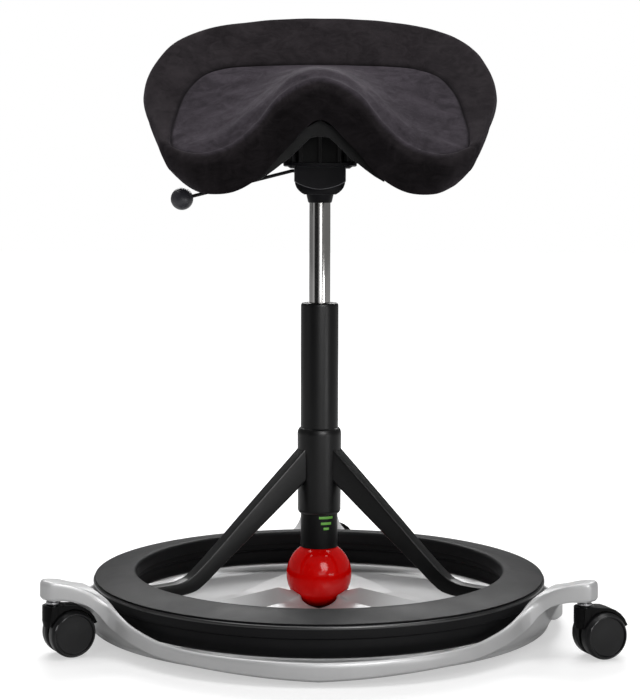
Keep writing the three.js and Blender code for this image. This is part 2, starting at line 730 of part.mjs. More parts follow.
function makeSeatBolt(index) {
  const { shank, head } = SEAT_BOLT;
  const plateBottom = BRACKET.top;
  const profile = [
    [0, plateBottom - 2.6], [4.6, plateBottom - 2.6], [head, plateBottom - 1.6],
      [head, plateBottom - GAP],
    [shank, plateBottom - GAP], [shank, 629], [0, 629],
  ];
  return seatBoltPlaces(revolve(profile, 10))[index];
}

// A castor, made about its stem's axis with the wheels trailing towards +X
function makeCasterStem() {
  const r = CASTER.stemRadius;
  return revolve([[0, 44], [2.4, 44], [2.4, 55.4], [r, 55.4], [r, 65.4], [9, 65.4], [9, 67.8],
    [r, 67.8], [r, 87], [0, 88]], 12);
}

function makeCasterBody() {
  const { trail, webHalf, wheelRadius, stemRadius, top } = CASTER;
  const hoodOuter = wheelRadius + 5.2;
  const hoodInner = wheelRadius + 1.6;
  const axle = wheelRadius;
  const arc = (radius, from, to, steps) =>
    Array.from({ length: steps + 1 }, (_, i) => {
      const angle = THREE.MathUtils.degToRad(from + ((to - from) * i) / steps);
      return [trail + radius * Math.cos(angle), axle + radius * Math.sin(angle)];
    });
  const sideways = (outline, halfWidth) => {
    const shape = new THREE.Shape(outline.map(([x, z]) => new THREE.Vector2(x, z)));
    const geometry = new THREE.ExtrudeGeometry(shape, { depth: 2 * halfWidth, bevelEnabled: false,
      curveSegments: 6 });
    return geometry.rotateX(Math.PI / 2).translate(0, halfWidth, 0);
  };
  const hood = sideways([...arc(hoodOuter, 18, 92, 5), [8, top],
    [-6, top], ...arc(hoodInner, 160, 18, 6)], 13);
  const web = sideways([...arc(hoodOuter - 1, 18, 92, 5), [4, top - 1],
    [-9, top - 6], ...arc(24.5, 175, 285, 5), ...arc(12, 300, 372, 3)], webHalf - 0.5);
  const neck = revolve([[0, 38], [12, 38], [13.5, 45], [13.5, top], [0, top]], 16);
  const wheelRoom = [-1, 1].map((side) => {
    const room = rod(wheelRadius + 1.2, webHalf - 0.5, 30, 18).rotateX(Math.PI / 2 * -side);
    return room.translate(trail, 0, axle);
  });
  const bore = revolve([[0, 43.6], [2.7, 43.6], [2.7, 55], [stemRadius + GAP, 55],
    [stemRadius + GAP, 80], [0, 80]], 12);
  const axleHole = rod(3.3, -20, 20, 10).rotateX(Math.PI / 2).translate(trail, 0, axle);
  const boss = rod(7.5, -webHalf, webHalf, 10).rotateX(Math.PI / 2).translate(trail, 0, axle);
  return cut(join(cut(join(hood, neck), ...wheelRoom), web, boss), bore, axleHole);
}

function makeCasterAxle() {
  const { trail, wheelRadius, webHalf, wheelWidth } = CASTER;
  const reach = webHalf + wheelWidth - 5;
  return rod(3, -reach, reach, 12).rotateX(Math.PI / 2).translate(trail, 0, wheelRadius);
}

// A wheel: a crowned tread and a flat disc inside a raised lip, with a blind bore for the axle
function makeCasterWheel(side) {
  const { trail, wheelRadius, wheelWidth, webHalf } = CASTER;
  const face = wheelWidth - 1.8;
  const profile = [
    [0, wheelWidth - 4.5], [3.4, wheelWidth - 4.5], [3.4, 0], [wheelRadius - 1.6, 0], [wheelRadius, 2],
    [wheelRadius, 14], [wheelRadius - 2.4, wheelWidth], [wheelRadius - 4.6, wheelWidth],
      [wheelRadius - 5.6, face],
    [0, face],
  ];
  const wheel = revolve(profile, 22).translate(0, 0, webHalf + GAP);
  return wheel.rotateX((Math.PI / 2) * (side > 0 ? -1 : 1)).translate(trail, 0, wheelRadius);
}

// Finishes
const paint = {
  castAluminium: { color: 0xb9babb, roughness: 0.38, metalness: 0.85 },
  blackCoat: { color: 0x1d1d1f, roughness: 0.45, metalness: 0.2 },
  blackPlastic: { color: 0x202022, roughness: 0.55, metalness: 0 },
  ringPlastic: { color: 0x333335, roughness: 0.6, metalness: 0 },
  redPlastic: { color: 0xb50a08, roughness: 0.15, metalness: 0 },
  chrome: { color: 0xd5d6d8, roughness: 0.12, metalness: 1 },
  steel: { color: 0x9a9b9d, roughness: 0.35, metalness: 1 },
  suede: { color: 0x39353b, roughness: 0.95, metalness: 0 },
  acetal: { color: 0xe6e4dc, roughness: 0.4, metalness: 0 },
  rubber: { color: 0x151515, roughness: 0.85, metalness: 0 },
};

const stool = new THREE.Group();
stool.position.z = -UNDERSIDE;

function place(name, finish, geometry, group = stool) {
  const mesh = new THREE.Mesh(geometry, new THREE.MeshStandardMaterial(paint[finish]));
  mesh.name = name;
  mesh.geometry.computeVertexNormals();
  group.add(mesh);
}

place("base_dish", "castAluminium", makeBase());
place("ball_cup", "blackPlastic", makeBallCup());
place("ball", "redPlastic", makeBall());
place("spindle", "steel", makeSpindle());
place("scale_sleeve", "blackPlastic", makeScaleSleeve());
place("threaded_bush", "acetal", makeThreadedBush());
place("detent_ring", "steel", ring(12.3, 20.6, 116.2, 120.6, 18));
place("hub", "blackCoat", makeHub());
for (const [name, degrees] of Object.entries(ARM_ANGLES)) {
  place(`leg_${name}`, "blackCoat", makeLeg(degrees));
  place(`leg_screw_${name}`, "steel", makeLegScrew(degrees));
}
place("foot_ring_cover", "ringPlastic", makeRingCover());
place("foot_ring_channel", "ringPlastic", makeRingChannel());

place("gas_tube", "blackCoat", makeGasTube());
place("guide_bush", "acetal", makeGuideBush());
place("thrust_washer", "steel", ring(5.7, 16, 180.3, 181.8, 18));
place("thrust_bearing", "acetal", ring(5.7, 15, 182.1, 185.5, 18));
place("bearing_washer", "steel", ring(5.3, 14, 185.8, 187.5, 18));
place("bump_stop", "rubber", revolve([[5.3, 189.7], [11, 189.7], [11.5, 191], [10, 194.4],
  [5.3, 194.4]], 16));
place("retaining_clip", "steel", makeRetainingClip());
place("piston_rod", "steel", makeRod());
place("piston", "steel", makePiston());
place("gas_cylinder", "chrome", makeGasCylinder());
place("rod_gland", "blackPlastic", ring(5.3, 12.2, 315.4, 328.5, 18));
place("valve_pin", "steel", revolve([[0, 578], [3, 578], [3, 597.6], [2.2, 598.4], [0, 598.6]], 12));

place("seat_bracket", "blackCoat", makeBracket());
place("bracket_cover", "blackPlastic", makeBracketCover());
place("lever_pin", "steel", rod(2, -12.2, 12.2, 12).rotateX(Math.PI / 2).translate(LEVER.pivotX, 0,
  LEVER.height));
place("height_lever", "steel", makeLever());
place("lever_knob", "blackPlastic", makeKnob());
place("seat_shell", "blackPlastic", makeSeatShell());
for (let i = 0; i < 4; i++) place(`seat_bolt_${i + 1}`, "blackCoat", makeSeatBolt(i));
place("seat_cushion", "suede", makeCushion());

for (const [name, degrees] of Object.entries(ARM_ANGLES)) {
  const caster = new THREE.Group();
  const stem = polar(CASTER.circle, degrees, 0);
  caster.position.set(stem.x, stem.y, 0);
  caster.rotation.z = THREE.MathUtils.degToRad(CASTER_TURN[name]);
  stool.add(caster);
  place(`caster_stem_${name}`, "steel", makeCasterStem(), caster);
  place(`caster_body_${name}`, "blackPlastic", makeCasterBody(), caster);
  place(`caster_axle_${name}`, "steel", makeCasterAxle(), caster);
  place(`caster_wheel_${name}_a`, "ringPlastic", makeCasterWheel(-1), caster);
  place(`caster_wheel_${name}_b`, "ringPlastic", makeCasterWheel(1), caster);
}

export default stool;
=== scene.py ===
"""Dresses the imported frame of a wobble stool: smooth surfaces, upholstery, materials, floor and camera."""
import json
import math

import bmesh
import bpy
import numpy as np
from bpy.props import FloatProperty, FloatVectorProperty, IntProperty, PointerProperty
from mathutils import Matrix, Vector

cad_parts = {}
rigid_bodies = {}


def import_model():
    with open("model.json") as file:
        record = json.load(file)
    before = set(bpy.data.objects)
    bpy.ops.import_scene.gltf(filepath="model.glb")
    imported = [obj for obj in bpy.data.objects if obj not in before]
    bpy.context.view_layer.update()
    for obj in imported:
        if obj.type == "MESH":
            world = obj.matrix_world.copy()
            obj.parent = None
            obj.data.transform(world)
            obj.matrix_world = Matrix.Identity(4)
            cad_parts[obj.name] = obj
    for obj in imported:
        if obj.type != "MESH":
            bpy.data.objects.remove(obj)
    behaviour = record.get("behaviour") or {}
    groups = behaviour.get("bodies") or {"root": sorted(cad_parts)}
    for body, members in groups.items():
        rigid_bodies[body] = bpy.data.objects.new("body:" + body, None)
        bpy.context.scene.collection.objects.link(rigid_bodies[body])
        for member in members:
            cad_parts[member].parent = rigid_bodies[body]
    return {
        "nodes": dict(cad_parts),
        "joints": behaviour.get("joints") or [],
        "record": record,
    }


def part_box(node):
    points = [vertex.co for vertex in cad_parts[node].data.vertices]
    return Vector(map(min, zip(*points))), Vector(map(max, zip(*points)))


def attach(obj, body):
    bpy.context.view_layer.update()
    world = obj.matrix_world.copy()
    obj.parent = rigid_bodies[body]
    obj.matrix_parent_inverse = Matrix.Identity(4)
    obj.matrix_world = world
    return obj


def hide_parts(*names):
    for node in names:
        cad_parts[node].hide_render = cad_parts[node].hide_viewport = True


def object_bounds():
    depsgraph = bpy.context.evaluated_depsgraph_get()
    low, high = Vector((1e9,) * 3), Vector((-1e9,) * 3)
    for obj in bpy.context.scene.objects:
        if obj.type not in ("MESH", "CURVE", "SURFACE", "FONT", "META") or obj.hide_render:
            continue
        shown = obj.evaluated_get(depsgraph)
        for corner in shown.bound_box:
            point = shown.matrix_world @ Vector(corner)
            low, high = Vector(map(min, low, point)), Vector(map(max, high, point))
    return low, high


bl_info = {
    "name": "Wobble stool",
    "version": (1, 0, 0),
    "blender": (4, 5, 0),
    "location": "3D View > Sidebar > Stool",
    "description": "Finished surfaces, upholstery and materials for a wobble stool",
    "category": "Add Mesh",
}

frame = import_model()
CAD_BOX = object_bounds()

# Shapes below are written in millimetres above the floor, and the frame's origin is this far above it
UNDERSIDE = 4.0
MM = 0.001
ARMS = {"front_left": 210, "front_right": 330, "rear": 90}
# From an arm to the middle between two arms, in degrees
HALF_SECTOR = 60

# The base's rim against the angle from the nearest arm, in degrees
RIM_ANGLES = [0, 1.7, 2.9, 4.3, 5.4, 7, 10, 16, 24, 33, 42, 51, 60]
RIM_RADIUS = [393, 390, 374, 350, 333, 323.5, 319.5, 319.5, 322, 324.3, 325, 325, 325]
RIM_TOP = [95, 94.4, 91.5, 83, 71.5, 62.5, 52.5, 42, 34.6, 31.8, 30.4, 29.2, 28.2]
RIM_BOTTOM = [71, 71, 70.5, 64, 50.5, 35.5, 28, 20.5, 14.7, 13, 10.4, 7.4, 5]
# An arm's walls: height and radius
ARM_INNER_WALL = [[8, 304], [32, 307.5], [60, 312.5], [84, 334]]
ARM_OUTER_WALL = [[4, 270], [12, 304], [30, 313.5], [50, 317], [63, 328], [70.5, 351]]
# The socket that the cup stands in, and its mouth, from which the ridges run outwards
SOCKET_RADIUS = 36
SOCKET_FLOOR = 14.7
MOUTH_RADIUS = 39.5
RIDGE_START = 40.0
# The raised centre: its edge between two arms, its end and half its width along an arm, its lowest height
CENTRE_RADIUS = 122
CENTRE_REACH = 226
CENTRE_HALF_WIDTH = 26
CENTRE_LOWEST = 25.5
# The flat round the raised centre, and the trough between that and the wall
SHELF_RADIUS = 233
SHELF_HEIGHT = 17
TROUGH_RADIUS = 239
TROUGH_HEIGHT = 8
WALL_FOOT_RADIUS = 304
# The column of the base's grid that runs along a ridge's foot, in degrees from the arm
FOOT_COLUMN = 16.0
# Points to each rounded corner of the base's outline
CORNER_STEPS = 4

# The ball, its centre's height, and the hollow of the cup that it rolls in
BALL_RADIUS = 43.5
BALL_CENTRE = 62.7
CUP_RADIUS = 44.1
KNOB_RADIUS = 15
# From the middle of a castor to the inner side of its wheel
WHEEL_INSET = 4.5
# The green bars: height and width, on the sleeve's radius, in this direction seen from above
SCALE_MARKS = [(140.9, 19.8), (133.3, 14.5), (126.4, 7.5)]
SCALE_RADIUS = 24.6
SCALE_DIRECTION = -67.3

# Rounding of a drawn steel edge and of the seat shell's, in metres
STEEL_SOFTNESS = 0.0003
SHELL_SOFTNESS = 0.0007

# Turned pieces, corner by corner: radius, height, rounding
SLEEVE = [(21, 100.5, 0.3), (24.5, 99.4, 0.8), (24.5, 171, 0.5), (23.5, 172, 0.5), (21, 172, 0.3)]
HUB = [
    (25.3, 145, 0.3), (26.6, 145, 0.8), (28.5, 148, 1.5), (29.3, 252, 3.5), (27.5, 256.5, 2.5),
    (25.3, 258, 0.2),
]
TUBE = [
    (5.7, 176, 0.3), (23.8, 176, 1), (25, 236, 2), (25, 424, 4.5), (17, 424, 1), (17, 421, 0.3),
    (23, 421, 0.3), (23, 180, 0.3), (5.7, 180, 0.3),
]
CYLINDER = [
    (12.5, 315, 0.2), (13.2, 315, 0.4), (14, 316, 0.5), (14, 586.5, 0.5), (12.5, 588, 0.5), (3.4, 588, 0.2),
    (3.4, 574, 0.2), (12.5, 574, 0.2),
]
RING_COVER = [
    (242, 57, 0.5), (246, 57, 0.5), (246, 67.5, 1), (287, 63, 1), (294, 58, 1), (294, 48.8, 0.5),
    (298.2, 48.8, 1.4), (298.2, 62.6, 0.9), (295.4, 64.2, 0.4), (296.8, 66.2, 1.1), (254, 73, 8),
    (244.8, 73.2, 2), (242, 70.2, 2.4),
]
RING_CHANNEL = [
    (250, 56.6, 0.5), (250, 47, 2), (256, 44, 3), (257, 31, 6), (264, 22, 7), (286, 22, 9), (294.4, 33, 9),
    (294.4, 48, 0.6), (290.6, 48, 0.5), (290.6, 56.6, 0.5), (287, 56.6, 0.5), (287, 32, 4), (281, 26.5, 4),
    (266, 26.5, 4), (260, 47.5, 1), (254, 56.6, 0.5),
]
RING_LIP = [(295, 63.5, 0.2), (296.4, 63.9, 0.5), (298.35, 62.75, 1.4), (298.35, 60, 0.2), (297.4, 60, 0.2)]
# The same for a wheel, with the distance along its axle as the height
WHEEL = [
    (0, 13.5, 0), (3.4, 13.5, 0.4), (3.4, 0, 0.4), (27, 0, 1), (28.6, 2, 1.6), (28.6, 13, 2.6),
    (26.4, 16.2, 0.5), (25.4, 18.2, 0.4), (24.2, 18.2, 0.4), (23.2, 15.2, 0.5), (8, 15.8, 3), (0, 15.9, 0),
]

# Stations of a leg from the hub outwards: upper edge's radius and height, lower edge's, and width
LEG_STATIONS = [
    [24, 234.6, 24, 191, 21.8], [30.6, 228.5, 30.6, 185.5, 21.8], [111.5, 153, 103, 126.3, 20.5],
    [169, 99, 155, 84, 19], [186, 84.5, 172.5, 69.3, 18.6], [198, 76.6, 187, 60.6, 18.3],
    [213, 72.6, 206, 57.4, 18], [236, 71.6, 232, 57.2, 18], [250, 71.4, 250, 57.2, 18],
]

# Stations of the seat from the back's centre round the right side to the front's centre: x, y, height
SEAT_SEAM = [
    [0, 102, 747], [70, 101, 746], [128, 88, 742], [160, 55, 730], [181, 5, 702], [189, -50, 668],
    [190, -105, 641], [180, -148, 623], [145, -170, 618], [110, -174, 630], [80, -174, 656],
    [46, -173, 695], [0, -171, 714],
]
SEAT_CREST = [
    [0, 160, 818], [85, 156, 814], [160, 134, 800], [206, 88, 773], [229.5, 27, 728], [228, -30, 686],
    [214, -85, 656], [196, -138, 627], [155, -181, 611], [113, -185, 619], [80, -185, 643],
    [45, -184, 682], [0, -182, 703],
]
SEAT_WIDEST = [
    [0, 178, 786], [90, 173, 782], [168, 148, 768], [215, 95, 740], [237, 28, 692], [221.5, -30, 653],
    [205, -85, 621.5], [186, -140, 598], [150, -180, 588], [112, -184, 594], [80, -184, 617],
    [44, -181, 653], [0, -179, 682],
]
SEAT_EDGE = [
    [0, 160, 752], [84, 157, 749], [156, 133, 734], [195, 88, 703], [212, 26, 655], [205, -32, 618],
    [187.5, -86, 594.5], [167, -135, 578.5], [142, -166, 569], [108, -170, 571], [74, -170, 590],
    [40, -168, 627], [0, -167, 661],
]
LAST_STATION = len(SEAT_SEAM) - 1
SEAT_CENTRE_Y = -30
CUSHION_DEPTH = 50
# Rows in each stretch of the cushion's wall, from the seam over crest and widest row to the lower edge
WALL_STEPS = [8, 6, 6, 6, 6, 6, 6]
# A seam runs down the wall at this station, as far as this row
CORNER_STATION = 6.9
CORNER_SEAM_ROWS = 34
# At the front the sitting panel goes on over the crest, and below the crest the front wall is darkened with
# painted shade
FRONT_STATIONS = (7.4, 8.6)
PANEL_END_ROWS = (13, 19)
PAINTED_SHADE_STATIONS = (6.0, 8.6)
PAINTED_SHADE_ROWS = (19, 27)
PAINTED_SHADE_SHARE = 0.85
# How far the padding stands proud beside a seam, and how uneven it is
SWELL = 0.7
UNEVENNESS = 0.35

# The strength of the white surround in reflections and on what it lights, where the camera sees 1
MIRRORED_STRENGTH = 0.2
SKY_STRENGTH = 0.2
FLOOR_SPAN = 28.0
CAMERA_ROLL = -0.15
# Cards that only reflections see: place, target, size in metres, grey tone, glow
CARDS = {
    "black card": ((-1.26, -1.65, 0.9), (-0.35, -0.35, 0.9), (1.57, 2.0), 0.01, 0.0),
    "window card": ((0.75, -1.96, 1.46), (0, 0, 0.1), (1.0, 1.3), 0.0, 9.0),
    "backdrop card": ((0, 3.0, 1.0), (0, 0, 0.3), (5.0, 1.6), 0.0, 0.12),
}
# Lamps: place, target, size in metres, watts, seen in reflections
LAMPS = {
    "top softbox": ((0, 0.15, 2.6), (0, 0, 0.2), (2.4, 1.6), 52, True),
    "rear softbox": ((0, 2.6, 2.0), (0, 0, 0), (2.6, 0.9), 58, True),
    "key softbox": ((0.72, -1.88, 1.42), (0, 0, 0.1), (0.8, 1.05), 5, True),
    "left fill": ((-0.95, -1.85, 1.1), (0, 0, 0.1), (0.8, 0.8), 6, False),
    "left card": ((-2.3, -0.7, 0.55), (0, 0, 0.45), (0.9, 1.1), 0.5, True),
    "stripe card": ((0.42, -2.2, 0.5), (0, 0, 0.5), (0.9, 0.5), 3.5, True),
    "right card": ((1.7, -1.8, 0.2), (0, 0, 0.1), (0.7, 0.34), 5, True),
}

groups = {}
materials = {}


def length_of(name, description, default):
    return FloatProperty(name=name, description=description, default=default, unit="LENGTH")


def colour_of(name, default):
    return FloatVectorProperty(
        name=name, description="Base colour", subtype="COLOR", size=3, min=0, max=1, default=default
    )


class StoolSizes(bpy.types.PropertyGroup):
    """Sizes that a maker would change"""

    round_segments: IntProperty(
        name="Round segments", description="Facets round a turned piece", default=96, min=24
    )
    ring_segments: IntProperty(
        name="Ring segments", description="Facets round the foot ring", default=192, min=48
    )
    seat_samples: IntProperty(
        name="Seat samples", description="Points round each row of the cushion", default=208, min=48
    )
    edge_softness: length_of("Edge softness", "Rounding of moulded edges", 0.0008)
    seam_width: length_of("Seam width", "Width of a sewn seam", 0.0022)
    seam_depth: length_of("Seam depth", "Depth of a sewn seam", 0.0016)
    camera_distance: length_of("Camera distance", "In front of the column", 2.4)
    camera_height: length_of("Camera height", "Above the floor", 0.574)
    camera_lens: FloatProperty(name="Camera lens", description="Focal length in millimetres", default=92.57)
    camera_shift: FloatProperty(
        name="Camera shift", description="Share of the picture's height", default=-0.2286
    )


class StoolColours(bpy.types.PropertyGroup):
    """Base colours of the stool's finishes, as linear values"""

    suede: colour_of("Suede", (0.0165, 0.0139, 0.0153))
    # The sitting panel's paleness is partly its own tone and partly painted light on its upward-facing top
    suede_panel: colour_of("Suede, sitting panel", (0.035, 0.030, 0.0362))
    silver: colour_of("Silver coat", (0.52, 0.52, 0.523))
    frame_coat: colour_of("Black coat", (0.004, 0.004, 0.0043))
    ring: colour_of("Foot ring", (0.0085, 0.0085, 0.0092))
    plastic: colour_of("Black plastic", (0.004, 0.004, 0.0043))
    bracket: colour_of("Seat bracket", (0.0026, 0.0024, 0.0038))
    knob: colour_of("Knob", (0.034, 0.034, 0.041))
    ball: colour_of("Ball", (0.84, 0.0015, 0.0008))
    mark: colour_of("Scale mark", (0.16, 0.50, 0.06))


def sizes():
    return bpy.context.scene.stool_sizes


# Curves


def smoothstep(value, low, high):
    t = np.clip((value - low) / (high - low), 0, 1)
    return t * t * (3 - 2 * t)


def cubic(start, end, start_slope, end_slope, t):
    """From s to e with the slopes m and n: s (1+2t)(1-t)^2 + m t(1-t)^2 + e t^2(3-2t) + n t^2(t-1)."""
    return (
        start * (1 + 2 * t) * (1 - t) ** 2 + start_slope * t * (1 - t) ** 2
        + end * t**2 * (3 - 2 * t) + end_slope * t**2 * (t - 1)
    )


def through(keys, values, at):
    """Cubic through the values without overshoot: a key's slope is the harmonic mean of those beside it."""
    keys, values, at = (np.asarray(item, float) for item in (keys, values, at))
    slope = np.diff(values) / np.diff(keys)
    product = slope[:-1] * slope[1:]
    inner = np.where(product > 0, 2 * product / np.where(product > 0, slope[:-1] + slope[1:], 1), 0)
    tangent = np.concatenate([slope[:1], inner, slope[-1:]])
    i = np.clip(np.searchsorted(keys, at, side="right") - 1, 0, len(keys) - 2)
    step = keys[i + 1] - keys[i]
    t = np.clip((at - keys[i]) / step, 0, 1)
    return cubic(values[i], values[i + 1], tangent[i] * step, tangent[i + 1] * step, t)


def rounded(outline, rounding, steps):
    """Corner C of an outline becomes (1-t)^2 A + 2t(1-t) C + t^2 B, with A and B on its two edges."""
    corner = np.asarray(outline, float)
    ends = []
    for shift in (1, -1):
        edge = np.roll(corner, shift, 0) - corner
        length = np.maximum(np.linalg.norm(edge, axis=1), 1e-9)
        ends.append(corner + edge * np.minimum(rounding / length, 0.48)[:, None])
    t = np.linspace(0, 1, steps)[None, :, None]
    curve = (1 - t) ** 2 * ends[0][:, None] + 2 * t * (1 - t) * corner[:, None] + t**2 * ends[1][:, None]
    return curve.reshape(-1, 2)


def turned_profile(corners, steps):
    """The outline of a turned piece, from corners of radius, height and rounding."""
    corners = np.array(corners, float)
    return rounded(corners[:, :2], corners[:, 2], steps)


def half_circle(radius, height, count):
    """A ball's outline: radius r cos a and height h + r sin a, for a from -90 to 90 degrees."""
    angle = np.radians(np.linspace(-90, 90, count))
    return np.stack([radius * np.cos(angle), height + radius * np.sin(angle)], -1)


# Meshes


def linked(name, data):
    made = bpy.data.objects.new(name, data)
    bpy.context.scene.collection.objects.link(made)
    return made


def smoothed(name, mesh, sharp, weld, flat=None):
    """Welds a mesh, points its faces outwards and shades it smooth between sharp edges.

    With flat, in degrees, faces that lie that close to one plane become one face.
    """
    work = bmesh.new()
    work.from_mesh(mesh)
    bmesh.ops.remove_doubles(work, verts=work.verts, dist=weld)
    if flat is None:
        bmesh.ops.dissolve_degenerate(work, edges=work.edges, dist=1e-7)
    else:
        bmesh.ops.dissolve_limit(work, angle_limit=math.radians(flat), verts=work.verts, edges=work.edges)
    bmesh.ops.recalc_face_normals(work, faces=work.faces)
    work.to_mesh(mesh)
    work.free()
    mesh.shade_smooth()
    mesh.set_sharp_from_angle(angle=math.radians(sharp))
    return linked(name, mesh)


def surface(name, points, around=False, along=False, sharp=35.0, masks=None):
    """A skin over a grid of points: around joins its last column to the first, along its last row."""
    points = np.asarray(points, float)
    rows, columns = points.shape[:2]
    index = np.arange(rows * columns).reshape(rows, columns)
    if around:
        index = np.hstack([index, index[:, :1]])
    if along:
        index = np.vstack([index, index[:1]])
    quads = np.stack([index[:-1, :-1], index[:-1, 1:], index[1:, 1:], index[1:, :-1]], -1).reshape(-1, 4)
    places = (points.reshape(-1, 3) - (0, 0, UNDERSIDE)) * MM
    mesh = bpy.data.meshes.new(name)
    mesh.from_pydata(places.tolist(), [], quads.tolist())
    for mask, values in (masks or {}).items():
        attribute = mesh.attributes.new(mask, "FLOAT", "POINT")
        attribute.data.foreach_set("value", np.asarray(values, np.float32).ravel())
    return smoothed(name, mesh, sharp, 2e-6)


def capped(sections):
    """Closes a loft: its first and last sections are repeated, drawn together at their centres."""
    first = np.broadcast_to(sections[:1].mean(1, keepdims=True), sections[:1].shape)
    last = np.broadcast_to(sections[-1:].mean(1, keepdims=True), sections[-1:].shape)
    return np.concatenate([first, sections, last])


def revolved(name, profile, segments=None, closes=True, centre=(0, 0, 0)):
    """Points (radius, height) turned about an upright line through the centre: x = r cos a, y = r sin a."""
    turn = np.linspace(0, 2 * np.pi, segments or sizes().round_segments, endpoint=False)
    radius, height = profile[:, :1], profile[:, 1:]
    points = np.stack([radius * np.cos(turn), radius * np.sin(turn), height + 0 * turn], -1)
    return surface(name, points + centre, around=True, along=closes)


def moulded_copy(name, node, softness=None):
    """A copy of a frame node's mesh, merged, with its flat faces whole and its edges rounded."""
    sharp = 30.0
    mesh = frame["nodes"][node].data.copy()
    piece = smoothed(name, mesh, sharp, 5e-6, flat=1.5)
    bevel = piece.modifiers.new("soft edges", "BEVEL")
    bevel.width = softness or sizes().edge_softness
    bevel.segments = 2
    bevel.limit_method = "ANGLE"
    bevel.angle_limit = math.radians(sharp)
    return piece


def rectangle(name, width, depth, height=0.0):
    corners = [(x * width / 2, y * depth / 2, height) for x, y in ((-1, -1), (1, -1), (1, 1), (-1, 1))]
    mesh = bpy.data.meshes.new(name)
    mesh.from_pydata(corners, [], [(0, 1, 2, 3)])
    return linked(name, mesh)


def aimed(item, place, target):
    item.location = place
    item.rotation_euler = (Vector(target) - Vector(place)).to_track_quat("-Z", "Y").to_euler()


def dress(piece, body, slot, material, *nodes):
    """Puts a finished piece on its body in place of its nodes."""
    piece.data.materials.clear()
    piece.data.materials.append(material)
    if nodes:
        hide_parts(*nodes)
    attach(piece, body)
    return piece


# Shader nodes


def feed(tree, socket, value):
    """Links another node's output to a socket, or sets the socket to a number or colour."""
    if isinstance(value, bpy.types.NodeSocket):
        tree.links.new(value, socket)
    else:
        socket.default_value = value


def set_inputs(node, **values):
    """Sets sockets by their names, with spaces written as underscores."""
    for name, value in values.items():
        node.inputs[name.replace("_", " ")].default_value = value


def new_group(name, numbers, outputs):
    """A shader node group that takes a vector and named numbers, and gives named numbers."""
    group = bpy.data.node_groups.new(name, "ShaderNodeTree")
    group.interface.new_socket("Vector", in_out="INPUT", socket_type="NodeSocketVector")
    for socket, default in numbers.items():
        made = group.interface.new_socket(socket, in_out="INPUT", socket_type="NodeSocketFloat")
        made.default_value = default
    for socket in outputs:
        group.interface.new_socket(socket, in_out="OUTPUT", socket_type="NodeSocketFloat")
    start, end = group.nodes.new("NodeGroupInput"), group.nodes.new("NodeGroupOutput")
    return group, start.outputs, end.inputs


def math_node(tree, operation, first, second):
    node = tree.nodes.new("ShaderNodeMath")
    node.operation = operation
    feed(tree, node.inputs[0], first)
    feed(tree, node.inputs[1], second)
    return node.outputs[0]


def noise_node(tree, vector, scale, detail=3.0, roughness=0.5, distortion=0.0):
    node = tree.nodes.new("ShaderNodeTexNoise")
    tree.links.new(vector, node.inputs["Vector"])
    feed(tree, node.inputs["Scale"], scale)
    set_inputs(node, Detail=detail, Roughness=roughness, Distortion=distortion)
    return node.outputs["Fac"]


def stretched(tree, vector, scale):
    node = tree.nodes.new("ShaderNodeMapping")
    set_inputs(node, Scale=scale)
    tree.links.new(vector, node.inputs["Vector"])
    return node.outputs[0]


def ranged(tree, value, low, high, new_low=0.0, new_high=1.0):
    node = tree.nodes.new("ShaderNodeMapRange")
    tree.links.new(value, node.inputs["Value"])
    for socket, number in zip(node.inputs[1:5], (low, high, new_low, new_high)):
        socket.default_value = number
    return node.outputs[0]


def mixed(tree, mask, first, second):
    """A colour between two, by a mask. Either may be a socket or three numbers."""
    node = tree.nodes.new("ShaderNodeMix")
    node.data_type = "RGBA"
    tree.links.new(mask, node.inputs["Factor"])
    for socket, value in ((node.inputs[6], first), (node.inputs[7], second)):
        feed(tree, socket, (*value, 1.0) if isinstance(value, tuple) else value)
    return node.outputs[2]


def attribute_node(tree, name):
    node = tree.nodes.new("ShaderNodeAttribute")
    node.attribute_name = name
    return node.outputs["Fac"]


def object_coordinates(tree):
    return tree.nodes.new("ShaderNodeTexCoord").outputs["Object"]


def bumped(tree, shader, height, distance, strength=1.0):
    node = tree.nodes.new("ShaderNodeBump")
    set_inputs(node, Strength=strength, Distance=distance)
    tree.links.new(height, node.inputs["Height"])
    tree.links.new(node.outputs[0], shader.inputs["Normal"])


def placed_group(tree, group, vector, **values):
    node = tree.nodes.new("ShaderNodeGroup")
    node.node_tree = group
    tree.links.new(vector, node.inputs["Vector"])
    set_inputs(node, **values)
    return node.outputs


def grain_group():
    """Moulded or sprayed grain: fine height, and a cloudy mask for tint and gloss."""
    group, given, result = new_group(
        "surface grain", {"Grain Scale": 1800.0, "Cloud Scale": 14.0}, ["Height", "Cloud"]
    )
    fine = noise_node(group, given["Vector"], given["Grain Scale"], 2.0, 0.6)
    cloud = noise_node(group, given["Vector"], given["Cloud Scale"], 4.0, 0.55, 0.4)
    group.links.new(fine, result["Height"])
    group.links.new(ranged(group, cloud, 0.32, 0.68), result["Cloud"])
    return group


def dust_group():
    """Dust and rub marks: most on faces that look up, broken up by noise."""
    group, given, result = new_group("dust and rub", {"Amount": 0.5}, ["Mask"])
    geometry = group.nodes.new("ShaderNodeNewGeometry")
    split = group.nodes.new("ShaderNodeSeparateXYZ")
    group.links.new(geometry.outputs["Normal"], split.inputs[0])
    up = ranged(group, split.outputs["Z"], 0.15, 1.0)
    specks = ranged(group, noise_node(group, given["Vector"], 60.0, 8.0, 0.75), 0.45, 0.75)
    mask = math_node(group, "MULTIPLY", up, specks)
    group.links.new(math_node(group, "MULTIPLY", mask, given["Amount"]), result["Mask"])
    return group


